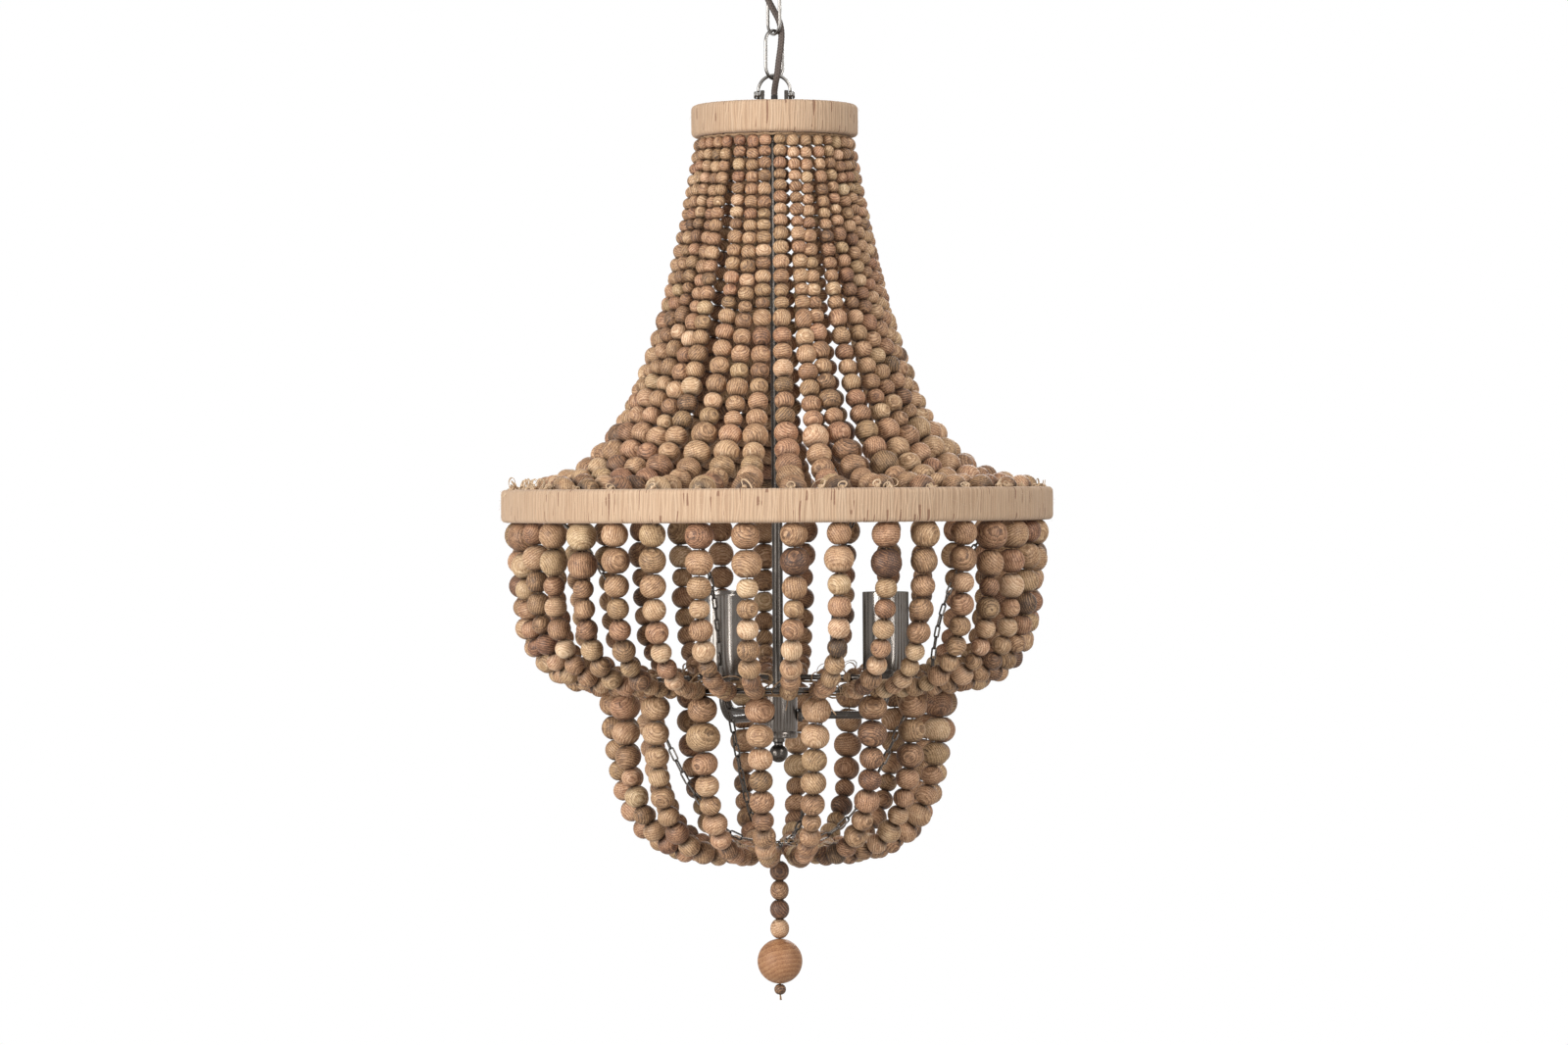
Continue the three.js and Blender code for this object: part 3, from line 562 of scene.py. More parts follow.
strap_low, strap_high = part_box("mounting_strap")
strap_thickness = 2.5 * mm
strap_corner = 3 * mm
slot_middle = 38 * mm
slot_half_length = 6 * mm
slot_half_width = 2.5 * mm
slot_corner = 2.4 * mm
slot_outline = oblong(slot_half_length, slot_half_width, slot_corner)
strap = slab(Shape(), oblong(strap_high.x, strap_high.y, strap_corner), -strap_thickness, 0)
strap = strap.piece("ceiling_strap", plated_steel)
slots = Shape()
for side in (-1, 1):
    slab(slots, slot_outline, -2 * strap_thickness, strap_thickness,
         Matrix.Translation((side * slot_middle, 0, 0)))
cut_from(strap, slots)
fit(strap, "canopy", "dark_steel", "mounting_strap")

stud_radius = 4 * mm
thread_pitch = 1 * mm
thread_depth = 0.35 * mm
thread_root = stud_radius - thread_depth
stud_profile = [(0, strap_low.z), (thread_root, strap_low.z)]
for turn in range(int((-strap_thickness - strap_low.z) / thread_pitch)):
    foot = strap_low.z + turn * thread_pitch
    stud_profile.append((thread_root, foot + 0.1 * thread_pitch))
    stud_profile.append((stud_radius, foot + 0.55 * thread_pitch))
stud_profile += [(thread_root, -strap_thickness), (0, -strap_thickness)]
stud = turned(Shape(), stud_profile, 32).piece("threaded_stud", plated_steel)
fit(stud, "canopy", "dark_steel")

canopy_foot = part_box("canopy_shell")[0].z
canopy_radius = 63.5 * mm
canopy_wall = 1.5 * mm
canopy_bend = 7 * mm
canopy_edge = 0.4 * mm
canopy_inner = canopy_radius - canopy_wall
stud_hole = 4.3 * mm
canopy = turned(Shape(), bent([
    (stud_hole, canopy_foot, 0),
    (canopy_radius, canopy_foot, canopy_bend),
    (canopy_radius, 0, canopy_edge),
    (canopy_inner, 0, canopy_edge),
    (canopy_inner, canopy_foot + canopy_wall, canopy_bend - canopy_wall),
    (stud_hole, canopy_foot + canopy_wall, 0),
]), 128, closed=True).piece("spun_canopy", dark_steel)
grip_place = Matrix.Translation((cord_route[0][0], cord_route[0][1], 0))
grip_hole = 5 * mm
hole_foot = canopy_foot - canopy_wall
hole_top = canopy_foot + 3 * canopy_wall
hole_profile = [(0, hole_foot), (grip_hole, hole_foot), (grip_hole, hole_top), (0, hole_top)]
cut_from(canopy, turned(Shape(), hole_profile, 32, grip_place))
fit(canopy, "canopy", "dark_steel", "canopy_shell")


def standing_ring(radius, along, height, count):
    """The centre line of an upright ring that lies along a level direction."""
    angles = whole_turn(count)
    level = radius * np.cos(angles)
    return np.stack([level * along[0], level * along[1], radius * np.sin(angles) + height], axis=1)


seat_gap = 0.3 * mm
collar_length = 12 * mm
collar_depth = 6 * mm
collar_top = canopy_foot - seat_gap
collar_foot = collar_top - collar_length
collar_radius = 9 * mm
collar_toe = 0.72 * collar_radius
collar_taper = 3 * mm
collar_floor = collar_top - collar_depth
collar_ease = 0.8 * mm
loop_radius = 10 * mm
loop_wire = 2 * mm
loop_yaw = math.radians(-60)
collar_loop = turned(Shape(), bent([
    (0, collar_foot, 0),
    (collar_toe, collar_foot, collar_ease),
    (collar_radius, collar_foot + collar_taper, collar_ease),
    (collar_radius, collar_top, collar_ease),
    (stud_hole, collar_top, 0),
    (stud_hole, collar_floor, 0),
    (0, collar_floor, 0),
]), 64)
loop_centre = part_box("canopy_loop")[0].z + loop_wire + loop_radius
loop_route = standing_ring(loop_radius, (math.cos(loop_yaw), math.sin(loop_yaw)), loop_centre, 64)
tube(collar_loop, loop_route, loop_wire, 16, closed=True)
fit(collar_loop.piece("collar_and_loop", dark_steel), "canopy", "dark_steel", "canopy_loop")

grip_bore = 3.3 * mm
grip_neck = 4.7 * mm
grip_head = 6 * mm
grip_lip = 3 * mm
grip_foot = collar_top - grip_lip
grip_top = canopy_foot + 2 * canopy_wall
grip_ease = 0.5 * mm
mouth_ease = 0.4 * mm
grip = turned(Shape(), bent([
    (grip_bore, grip_foot, mouth_ease),
    (grip_head, grip_foot, grip_ease),
    (grip_head, collar_top, grip_ease),
    (grip_neck, collar_top, 0),
    (grip_neck, grip_top, grip_ease),
    (grip_bore, grip_top, mouth_ease),
]), 48, grip_place, closed=True)
fit(grip.piece("cord_bush", black_plastic), "canopy", "black_plastic", "cord_grip")


# Carrying chain: three long links of plated wire, each butt-welded at the middle of one side and
# hooked through the next at a turned angle.
link_length = 46 * mm
link_width = 24 * mm
link_wire = 1.5 * mm
link_yaws = {"link_top": 30, "link_middle": -60, "link_bottom": 45}


def oval_route(length, width, points):
    """The centre line of a long link, standing in the XZ plane round the origin."""
    radius = width / 2
    straight = length - width
    half_way = math.pi * radius + straight
    route = []
    for along in np.linspace(0, 2 * half_way, points, endpoint=False):
        side = 1 if along < half_way else -1
        travelled = along % half_way
        angle = max(0, travelled - straight) / radius
        x = radius * math.cos(angle)
        z = min(travelled, straight) - straight / 2 + radius * math.sin(angle)
        route.append((side * x, 0, side * z))
    return np.array(route)


link_route = oval_route(link_length - 2 * link_wire, link_width - 2 * link_wire, 96)
weld_rise = 0.16
weld_reach = 1.6 * mm
weld_distance = np.where(link_route[:, 0] > 0, np.abs(link_route[:, 2]), 1)
weld_radius = link_wire * (1 + weld_rise * np.exp(-(weld_distance / weld_reach) ** 2))
for name, yaw in link_yaws.items():
    low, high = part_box(name)
    turn = Matrix.Rotation(math.radians(yaw), 4, "Z")
    place = Matrix.Translation((0, 0, (low.z + high.z) / 2)) @ turn
    link = tube(Shape(), placed(link_route, place), weld_radius, 16, closed=True)
    fit(link.piece("wire_" + name, plated_steel), name, "dark_steel", name)


# Bail: a half hoop of wire with a flattened eye at each foot. Two slotted screws pass through the
# eyes into the lugs of the hub plate.
pin_height = -193.6 * mm
bail_radius = 14.2 * mm
bail_leg = 3.4 * mm
bail_foot_rise = 2 * mm
bail_foot = pin_height + bail_foot_rise
bail_wire = 1.5 * mm
bail_angles = np.linspace(0, math.pi, 33)
bail_route = np.vstack([
    (bail_radius, 0, bail_foot),
    np.stack([bail_radius * np.cos(bail_angles), 0 * bail_angles,
              pin_height + bail_leg + bail_radius * np.sin(bail_angles)], axis=1),
    (-bail_radius, 0, bail_foot)])
bail = tube(Shape(), bail_route, bail_wire, 16)
eye_radius = 4 * mm
eye_half = 1.5 * mm
eye_hole = 1.8 * mm
eye_rim = 0.5 * mm
hole_rim = 0.3 * mm
eye_bends = (hole_rim, eye_rim, eye_rim, hole_rim)
eye_profile = flat_ring(eye_hole, eye_radius, -eye_half, eye_half, eye_bends)
for side in (-1, 1):
    turned(bail, eye_profile, 32, across(side * bail_radius, pin_height), closed=True)
fit(bail.piece("wire_bail", plated_steel), "bail", "dark_steel", "bail")

lug_thickness = 3.6 * mm
lug_inner = bail_radius - eye_half - seat_gap - lug_thickness
screw_radius = 1.5 * mm
screw_ease = 0.3 * mm
shank_length = lug_thickness + 2 * eye_half + 2 * seat_gap
head_radius = 3.5 * mm
head_crown = 2.6 * mm
head_side = 1.3 * mm
head_dome = 0.9 * mm
head_rim = shank_length + head_side
head_top = head_rim + head_dome
blade_half = 0.6 * mm
blade_slot = 0.4 * mm
blade_corner = 0.05 * mm
blade_outline = oblong(blade_half, eye_radius, blade_corner)
screw_profile = bent([
    (0, 0, 0), (screw_radius, 0, screw_ease), (screw_radius, shank_length, 0),
    (head_radius, shank_length, 0), (head_radius, head_rim, screw_ease),
    (head_crown, head_top, screw_ease), (0, head_top, 0)], 3)
for side, name in ((-1, "bail_screw_left"), (1, "bail_screw_right")):
    place = across(side * lug_inner, pin_height)
    if side < 0:
        place = place @ Matrix.Rotation(math.pi, 4, "Y")
    screw = turned(Shape(), screw_profile, 32, place).piece("slotted_" + name, plated_steel)
    slot_place = Matrix.Translation((side * (lug_inner + head_top), 0, 0))
    cut_from(screw, slab(Shape(), blade_outline, pin_height - blade_slot,
                         pin_height + blade_slot, slot_place))
    fit(screw, "fixture", "dark_steel", name)


# Top hub and frame: a plate with two lugs sits over the boss of the frame, whose four spokes run
# out to the flat band inside the top ring's wrap.
def block(shape, low, high, ease, place=None):
    """A box with every edge cut back a little."""
    low = np.array(low)
    size = np.array(high) - low
    box = bmesh.new()
    bmesh.ops.create_cube(box, size=1)
    for vertex in box.verts:
        vertex.co = low + (np.array(vertex.co) + 0.5) * size
    bmesh.ops.bevel(box, geom=box.edges[:], offset=ease, segments=1, affect="EDGES")
    box.verts.index_update()
    corners = [tuple(vertex.co) for vertex in box.verts]
    faces = [[vertex.index for vertex in face.verts] for face in box.faces]
    box.free()
    return shape.add(placed(corners, place), faces)


hub_low, hub_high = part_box("top_hub")
plate_foot = hub_low.z
plate_thickness = 4 * mm
plate_top = plate_foot + plate_thickness
plate_radius = 16 * mm
plate_ease = 0.5 * mm
weld_depth = 0.2 * mm
rod_radius = 4.75 * mm
rod_clearance = rod_radius + seat_gap
lug_half = 4 * mm
hub_profile = flat_ring(rod_clearance, plate_radius, plate_foot, plate_top,
                        (0, plate_ease, plate_ease, plate_ease))
hub = turned(Shape(), hub_profile, 64, closed=True)
for side in (-1, 1):
    left, right = sorted((side * lug_inner, side * (lug_inner + lug_thickness)))
    block(hub, (left, -lug_half, plate_top - weld_depth), (right, lug_half, hub_high.z), plate_ease)
fit(hub.piece("hub_plate", dark_steel), "fixture", "dark_steel", "top_hub")

top_wrap_low, top_wrap_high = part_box("top_wrap")
top_wrap_depth = top_wrap_high.z - top_wrap_low.z
boss_radius = 14 * mm
boss_thickness = 8 * mm
boss_top = top_wrap_high.z - (top_wrap_depth - boss_thickness) / 2
boss_foot = boss_top - boss_thickness
spoke_middle = (boss_top + boss_foot) / 2
spoke_half = 4 * mm
spoke_thickness = 4 * mm
spoke_start = 4 * mm
spoke_root = rod_clearance + spoke_start
band_outer = 69.5 * mm
band_inner = 67 * mm
band_margin = 2.5 * mm
band_top = top_wrap_high.z - band_margin
band_foot = top_wrap_low.z + band_margin
chain_azimuths = [math.radians(70 + 90 * k) for k in range(4)]
boss_profile = flat_ring(rod_clearance, boss_radius, boss_foot, boss_top,
                         (0, plate_ease, plate_ease, 0))
band_profile = flat_ring(band_inner, band_outer, band_foot, band_top, (0, 0, 0, 0))
top_frame = turned(Shape(), boss_profile, 64, closed=True)
turned(top_frame, band_profile, 96, closed=True)
for azimuth in chain_azimuths:
    block(top_frame, (spoke_root, -spoke_half, spoke_middle - spoke_thickness / 2),
          (band_inner + plate_ease, spoke_half, spoke_middle + spoke_thickness / 2), plate_ease,
          Matrix.Rotation(azimuth, 4, "Z"))
fit(top_frame.piece("spoked_frame", dark_steel), "fixture", "dark_steel", "top_frame")


# Ring wraps: one length of two-ply jute twine wound side by side round each flat steel band, turn
# after turn, until the band is hidden. Loose fibres stand off it.
twine = Finish("jute_twine")
wind = twine.mark("wind", "Vector")
turn_tone = twine.mark("tone")
fibre = twine.noise(twine.stretched(wind, (0.55, 9, 1)), 1, 4, 0.65)
fluff = twine.noise(wind, 0.9, 4, 0.7)
patches = twine.noise(twine.place(), 26, 3)
# The hollow between turns is painted darker: painted shade.
groove = twine.mark("groove")
lit = turn_tone * 0.5 + fibre * 0.5 + patches * 0.15 - 0.07
twine_tones = twine.ramp(lit, [
    (0.08, paint(152, 120, 93)), (0.42, paint(191, 159, 129)), (0.62, paint(206, 178, 149)),
    (0.92, paint(221, 197, 171))])
shaded = twine.mix(groove * (0.6 + 0.6 * fluff), twine_tones, paint(126, 90, 64))
# Slits between some turns are painted dark red-brown: painted shade in the gaps.
slit = twine.mark("slit").between(0.35, 0.75)
jute = twine.surface(
    Base_Color=twine.mix(slit * 0.7, shaded, paint(116, 76, 54)),
    Roughness=0.86,
    Sheen_Weight=0.15,
    Normal=twine.bump(fibre * 0.6 + fluff * 0.4, 0.5, 0.0004),
)


def wrap_section(radius, low, high):
    """The points of (radius, height) round a wrap's section, and the way out of it at each."""
    plain = np.array(flat_ring(radius - wrap_thickness, radius, low, high, [wrap_bend] * 4, 4))
    inner_foot, outer_foot, outer_top, inner_top = np.split(plain, 4)
    face = outer_foot[-1] + (outer_top[0] - outer_foot[-1]) * np.linspace(0, 1, 6)[1:-1, None]
    middle = (outer_top[-1] + inner_top[0]) / 2
    section = np.vstack([outer_foot, face, outer_top, middle, inner_top, inner_foot])
    along = np.roll(section, -1, axis=0) - np.roll(section, 1, axis=0)
    return section, direction(np.stack([along[:, 1], -along[:, 0]], axis=1))


def helix_faces(columns, points, across_turn):
    """Faces over columns of corners. The end of a column meets the start of one a turn further."""
    def corner(column, point):
        column += across_turn * (point // points)
        return column % columns * points + point % points

    return [[corner(column, point), corner(column + 1, point), corner(column + 1, point + 1),
             corner(column, point + 1)] for column in range(columns) for point in range(points)]


def wrapped_ring(name, node, seed, radius, low, high):
    """Twine wound round a flat ring as one long helix. Each turn's lean and tone are its own."""
    generator = np.random.default_rng(seed)
    across_turn = 5
    section, outward = wrap_section(radius, low, high)
    points = len(section)
    lengths = np.linalg.norm(section - np.roll(section, 1, axis=0), axis=1)
    travelled = np.cumsum(lengths) - lengths[0]
    perimeter = lengths.sum()
    turns = round(2 * math.pi * (radius - wrap_thickness / 2) / twine_pitch)
    columns = turns * across_turn
    turn_of = np.arange(columns) // across_turn
    part = (np.arange(columns) % across_turn) / across_turn
    ripple = np.sin(math.pi * (part + 0.5 / across_turn)) ** 0.6
    ply = ply_share * np.sin(travelled[None, :] / ply_pitch * 2 * math.pi + turn_of[:, None] * 2.4)
    lean = generator.normal(0, 0.42, turns)
    bow = generator.normal(0, 0.2, turns)
    swell = 1 + generator.normal(0, 0.16, turns)
    wave = travelled / perimeter * 2 * math.pi
    shift = (travelled / perimeter + lean[turn_of][:, None] * np.sin(wave)
             + bow[turn_of][:, None] * np.sin(2 * wave))
    angle = ((np.arange(columns) / across_turn)[:, None] + shift) / turns * 2 * math.pi
    rise = twine_relief * (ripple[:, None] * (swell[turn_of][:, None] + ply) - 0.75)
    raised = section + outward * rise[..., None]
    corners = around(raised[..., 0], angle, raised[..., 1])
    tones = np.clip(generator.normal(0.5, 0.07, turns), 0, 1)
    # Dark slits of painted shade run between some turns, over part of the wrap's height.
    slit_share = 0.55
    is_slit = generator.random(turns) < slit_share
    slit_middles = generator.uniform(0, perimeter, turns)
    slit_lengths = generator.uniform(0.15, 0.9, turns) * (high - low)
    before_slit = part > 0.7
    after_slit = part < 0.1
    beside = np.where(after_slit, np.roll(turn_of, across_turn), turn_of)
    gap = np.abs(travelled[None] - slit_middles[beside][:, None])
    gap = np.minimum(gap, perimeter - gap)
    open_here = gap < slit_lengths[beside][:, None] / 2
    slit = open_here & (is_slit[beside] & (before_slit | after_slit))[:, None]

    def spread(values):
        return np.broadcast_to(values, (columns, points)).ravel()

    wind_mark = np.stack([spread(travelled / mm), spread(part[:, None] * 1.6),
                          spread((turn_of * 7.31 % 97)[:, None])], axis=1)
    # The hollow between turns is marked here for its painted shade.
    shape = Shape().add(
        corners.reshape(-1, 3), helix_faces(columns, points, across_turn), wind=wind_mark,
        tone=spread(tones[turn_of][:, None]), groove=spread((1 - ripple)[:, None] ** 1.5),
        slit=spread(slit.astype(float)))
    fit(shape.piece(name, jute, edge_angle=100), "fixture", "jute", node)


def stray_fibres(name, seed, count, radius, low, high, longest):
    """Short hairs that stand off a wrap and curl over."""
    generator = np.random.default_rng(seed)
    fibres = Shape()
    for _ in range(count):
        azimuth = generator.uniform(0, 2 * math.pi)
        share = generator.uniform(0.02, 0.98)
        start = np.array((radius - fibre_root, 0, high - (high - low) * share))
        reach = generator.uniform(0.3, 1) * longest
        lean_up = generator.normal(0, 0.7)
        aside = generator.normal(0, 0.9)
        steps = np.linspace(0, 1, 6)[:, None]
        straight = np.array((generator.uniform(0.15, 0.7), aside, lean_up))
        droop = np.array((-0.1, generator.normal(0, 0.5), -0.35))
        route = start + reach * (straight * steps + droop * steps ** 2)
        route = route @ np.array(Matrix.Rotation(azimuth, 3, "Z")).T
        tube(fibres, route, fibre_radius * (1 - 0.6 * steps[:, 0]), 3)
    fibres.marks["tone"] = [np.full(fibres.count, 0.8)]
    fit(fibres.piece(name, jute), "fixture", "jute")


twine_pitch = 2 * mm
twine_relief = 0.42 * mm
ply_pitch = 3.1 * mm
ply_share = 0.09
wrap_thickness = 12 * mm
wrap_bend = 4.6 * mm
fibre_radius = 0.11 * mm
fibre_root = 0.3 * mm
big_wrap_low, big_wrap_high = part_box("big_wrap")
top_radius = 74 * mm
big_radius = 245 * mm
top_wrap_place = (top_radius, top_wrap_low.z, top_wrap_high.z)
big_wrap_place = (big_radius, big_wrap_low.z, big_wrap_high.z)
wrapped_ring("top_ring_wrap", "top_wrap", 11, *top_wrap_place)
wrapped_ring("big_ring_wrap", "big_wrap", 12, *big_wrap_place)
stray_fibres("top_ring_fibres", 13, 90, *top_wrap_place, 6 * mm)
stray_fibres("big_ring_fibres", 14, 320, *big_wrap_place, 7 * mm)
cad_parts["big_band"].data.materials[0] = dark_steel


# Central rod: a drawn steel tube that carries the rings and arms. One collar rests on the hub
# plate and the other bears up under the frame's boss.
rod_low, rod_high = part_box("centre_rod")
rod_wall = 1.1 * mm
rod_bore = rod_radius - rod_wall
rod_edge = 0.4 * mm
collar_reach = 7.5 * mm
collar_thickness = 3 * mm
under_boss = boss_foot - seat_gap
over_plate = rod_high.z - collar_thickness
rod = turned(Shape(), bent([
    (rod_bore, rod_low.z, 0), (rod_radius, rod_low.z, rod_edge),
    (rod_radius, under_boss - collar_thickness, 0),
    (collar_reach, under_boss - collar_thickness, rod_edge), (collar_reach, under_boss, rod_edge),
    (rod_radius, under_boss, 0), (rod_radius, over_plate, 0),
    (collar_reach, over_plate, rod_edge), (collar_reach, rod_high.z, rod_edge),
    (rod_bore, rod_high.z, rod_edge),
], 3), 48, closed=True)
fit(rod.piece("drawn_rod", dark_steel, edge_angle=30), "fixture", "dark_steel", "centre_rod")


# Arm hub: a turned steel drum pinned to the foot of the rod, with a flange on top, a groove at its
# waist and a small ball finial screwed in below.
drum_low, drum_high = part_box("arm_hub")
drum_foot = drum_low.z
drum_top = drum_high.z
drum_radius = 17 * mm
drum_ease = 1.2 * mm
flange_radius = 20.5 * mm
flange_thickness = 5 * mm
flange_foot = drum_top - flange_thickness
groove_rise = 6 * mm
groove_height = drum_foot + groove_rise
groove_depth = 0.8 * mm
groove_half = 1.4 * mm
bore_ease = 0.3 * mm
bore_floor = rod_low.z - seat_gap
pole_ring = 0.3 * mm
drum_steel = gunmetal("drum_steel", paint(92, 86, 81), paint(134, 127, 120), 0.16)
drum = turned(Shape(), bent([
    (0, drum_foot, 0),
    (pole_ring, drum_foot, 0),
    (drum_radius, drum_foot, drum_ease),
    (drum_radius, groove_height - groove_half, 0),
    (drum_radius - groove_depth, groove_height, 0),
    (drum_radius, groove_height + groove_half, 0),
    (drum_radius, flange_foot, 0),
    (flange_radius, flange_foot, drum_ease),
    (flange_radius, drum_top, drum_ease),
    (rod_clearance, drum_top, bore_ease),
    (rod_clearance, bore_floor, 0),
    (0, bore_floor, 0),
], 4), 80)
fit(drum.piece("turned_arm_hub", drum_steel, edge_angle=30), "fixture", "dark_steel", "arm_hub")

tip_low, tip_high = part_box("hub_finial")
tip_foot = tip_low.z
tip_top = tip_high.z
ball_radius = 8.3 * mm
neck_radius = 5.5 * mm
neck_waist = 4.1 * mm
neck_ease = 0.4 * mm
neck_length = 4.2 * mm
neck_rim = 3 * mm
tip_profile = [(0, tip_foot)]
for angle in np.radians(np.linspace(-80, 62, 22)):
    height = tip_foot + ball_radius * (1 + math.sin(angle))
    tip_profile.append((ball_radius * math.cos(angle), height))
tip_profile += [(neck_waist, tip_top - neck_length), (neck_radius, tip_top - neck_rim),
                (neck_radius, tip_top - neck_ease), (neck_radius - neck_ease, tip_top),
                (0, tip_top)]
tip = turned(Shape(), tip_profile, 48)
fit(tip.piece("ball_finial", dark_steel, edge_angle=30), "fixture", "dark_steel", "hub_finial")


# Arms, lamp sockets and sleeves: three steel tubes leave the drum level and turn up into round
# cups. Each cup holds a black socket with a threaded brass lining. A steel sleeve that lifts off
# hides it.
arm_reach = 96 * mm
arm_tube = 3.5 * mm
arm_height = -745.1 * mm
arm_bend = 20 * mm
bend_centre = arm_reach - arm_bend
cup_radius = 22 * mm
cup_thickness = 3 * mm
cup_ease = 1.2 * mm
tube_overlap = 0.5 * mm
edge_ease = 0.3 * mm
small_ease = 0.5 * mm
large_ease = 0.8 * mm
nut_ease = 0.4 * mm
nut_wall = 2.4 * mm
nut_inner = arm_tube - nut_ease
nut_outer = arm_tube + nut_wall
nut_thickness = 4 * mm
cone_wall = 1.6 * mm
cone_flare = 3.4 * mm
cone_depth = 6 * mm
cone_ease = 0.6 * mm
nut_profile = flat_ring(nut_inner, nut_outer, 0, nut_thickness, (0, nut_ease, large_ease, 0))
cone_profile = bent([
    (nut_inner, -cone_depth, 0), (arm_tube + cone_wall, -cone_depth, cone_ease),
    (arm_tube + cone_flare, weld_depth, 0), (nut_inner, weld_depth, 0)], 3)


def bent_arm(number, place, out_place):
    """A tube with a nut at the drum, and a cone under the cup that it ends in."""
    cup_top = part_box(f"arm_{number}")[1].z
    cup_foot = cup_top - cup_thickness
    route = [(x, 0, arm_height)
             for x in np.linspace(drum_radius + seat_gap, bend_centre, 12)[:-1]]
    route += [(bend_centre + arm_bend * math.sin(a), 0, arm_height + arm_bend * (1 - math.cos(a)))
              for a in np.linspace(0, math.pi / 2, 16)]
    route.append((arm_reach, 0, cup_foot + tube_overlap))
    arm = tube(Shape(), placed(route, place), arm_tube, 24)
    nut_place = place @ across(drum_radius + nut_ease, arm_height)
    turned(arm, nut_profile, 6, nut_place, closed=True)
    turned(arm, [(r, cup_foot + h) for r, h in cone_profile], 32, out_place, closed=True)
    turned(arm, bent([
        (0, cup_foot, 0), (pole_ring, cup_foot, 0), (cup_radius, cup_foot, cup_ease),
        (cup_radius, cup_top, small_ease), (pole_ring, cup_top, 0), (0, cup_top, 0)], 4),
        64, out_place)
    fit(arm.piece(f"bent_arm_{number}", dark_steel), "fixture", "dark_steel", f"arm_{number}")


socket_radius = 16 * mm
step_depth = 1 * mm
step_height = 1 * mm
socket_waist = socket_radius - step_depth
waist_foot = 22 * mm
waist_top = 6 * mm
socket_bore = 13.2 * mm
socket_depth = 27 * mm
mouth_flare = 0.9 * mm
socket_mouth = socket_bore + mouth_flare
lining_gap = 0.3 * mm
lining_radius = socket_bore + lining_gap
lining_wall = 0.35 * mm
lining_drop = 2 * mm
lamp_thread_pitch = 3.6 * mm
lamp_thread_depth = 0.4 * mm
contact_profile = [(0, 0.1), (3.4, 0.1), (3.6, 0.8), (2.4, 2), (0, 2.3)]
brass = gunmetal("lamp_thread", paint(176, 142, 84), paint(206, 176, 118), 0.25)


def lamp_socket(number, place):
    """A waisted plastic shell with a bore, lined with threaded brass down to the contact."""
    socket_low, socket_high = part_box(f"lamp_socket_{number}")
    foot = socket_low.z
    top = socket_high.z
    bore_end = top - socket_depth
    shell = turned(Shape(), bent([
        (0, foot, 0), (pole_ring, foot, 0), (socket_radius, foot, large_ease),
        (socket_radius, foot + waist_foot, small_ease),
        (socket_waist, foot + waist_foot + step_height, small_ease),
        (socket_waist, top - waist_top, small_ease),
        (socket_radius, top - waist_top + step_height, small_ease),
        (socket_radius, top, large_ease), (socket_mouth, top, small_ease),
        (socket_mouth, bore_end, 0), (pole_ring, bore_end, 0), (0, bore_end, 0)], 3), 48, place)
    fit(shell.piece(f"socket_shell_{number}", black_plastic), "fixture", "black_plastic",
        f"lamp_socket_{number}")
    heights = np.linspace(bore_end + lamp_thread_depth, top - lining_drop, 57)
    waves = lamp_thread_depth * np.cos((heights - bore_end) / lamp_thread_pitch * 2 * math.pi)
    outside = np.stack([lining_radius + waves, heights], axis=1)
    inside = outside[::-1] - (lining_wall, 0)
    lining = turned(Shape(), np.vstack([outside, inside]), 48, place, closed=True)
    turned(lining, [(r * mm, bore_end + h * mm) for r, h in contact_profile], 24, place)
    fit(lining.piece(f"socket_lining_{number}", brass), "fixture", "dark_steel")


sleeve_radius = 20.5 * mm
sleeve_wall = 1 * mm


def lamp_sleeve(number, place):
    """A thin steel tube that stands on the cup, round the socket."""
    low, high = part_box(f"lamp_sleeve_{number}")
    profile = flat_ring(sleeve_radius - sleeve_wall, sleeve_radius, low.z, high.z, [edge_ease] * 4)
    sleeve = turned(Shape(), profile, 96, place, closed=True)
    fit(sleeve.piece(f"steel_sleeve_{number}", polished_steel), f"sleeve_{number}", "dark_steel",
        f"lamp_sleeve_{number}")


for number in range(1, 4):
    place = Matrix.Rotation(math.radians(120 * (number - 1)), 4, "Z")
    out_place = place @ Matrix.Translation((arm_reach, 0, 0))
    bent_arm(number, place, out_place)
    lamp_socket(number, out_place)
    lamp_sleeve(number, out_place)


# Bare rings: the lower hoop and the small bottom ring, both bent from round wire and welded. The
# bottom ring has a crossbar that the finial hangs from.
hoop_height = -717.1 * mm
hoop_radius = 144 * mm
hoop_wire = 2.5 * mm
bottom_ring_height = -860.1 * mm
bottom_ring_radius = 22 * mm
bottom_wire = 1.5 * mm
hoop_route = around(hoop_radius, whole_turn(240), hoop_height)
hoop = tube(Shape(), hoop_route, hoop_wire, 16, closed=True)
fit(hoop.piece("wire_hoop", dark_steel), "fixture", "dark_steel", "lower_hoop")
bottom_route = around(bottom_ring_radius, whole_turn(96), bottom_ring_height)
bottom_ring = tube(Shape(), bottom_route, bottom_wire, 16, closed=True)
crossbar = [(x, 0, bottom_ring_height) for x in (-bottom_ring_radius, 0, bottom_ring_radius)]
tube(bottom_ring, crossbar, bottom_wire, 16)
fit(bottom_ring.piece("wire_bottom_ring", dark_steel), "fixture", "dark_steel", "bottom_ring")


# Small chains: four run down each tier inside the beads, from the spokes to the big ring, on to the
# hoop and to the bottom ring. Their short oval links are bent from thin blackened wire.
def tier_curve(start, end, shares, points=400):
    """Points of (radius, height) on a curve with two control points, given as shares of its way."""
    start, end, shares = np.array(start), np.array(end), np.array(shares)
    first, second = start + (end - start) * shares
    t = np.linspace(0, 1, points)[:, None]
    return ((1 - t) ** 3 * start + 3 * t * (1 - t) ** 2 * first + 3 * t ** 2 * (1 - t) * second
            + t ** 3 * end)


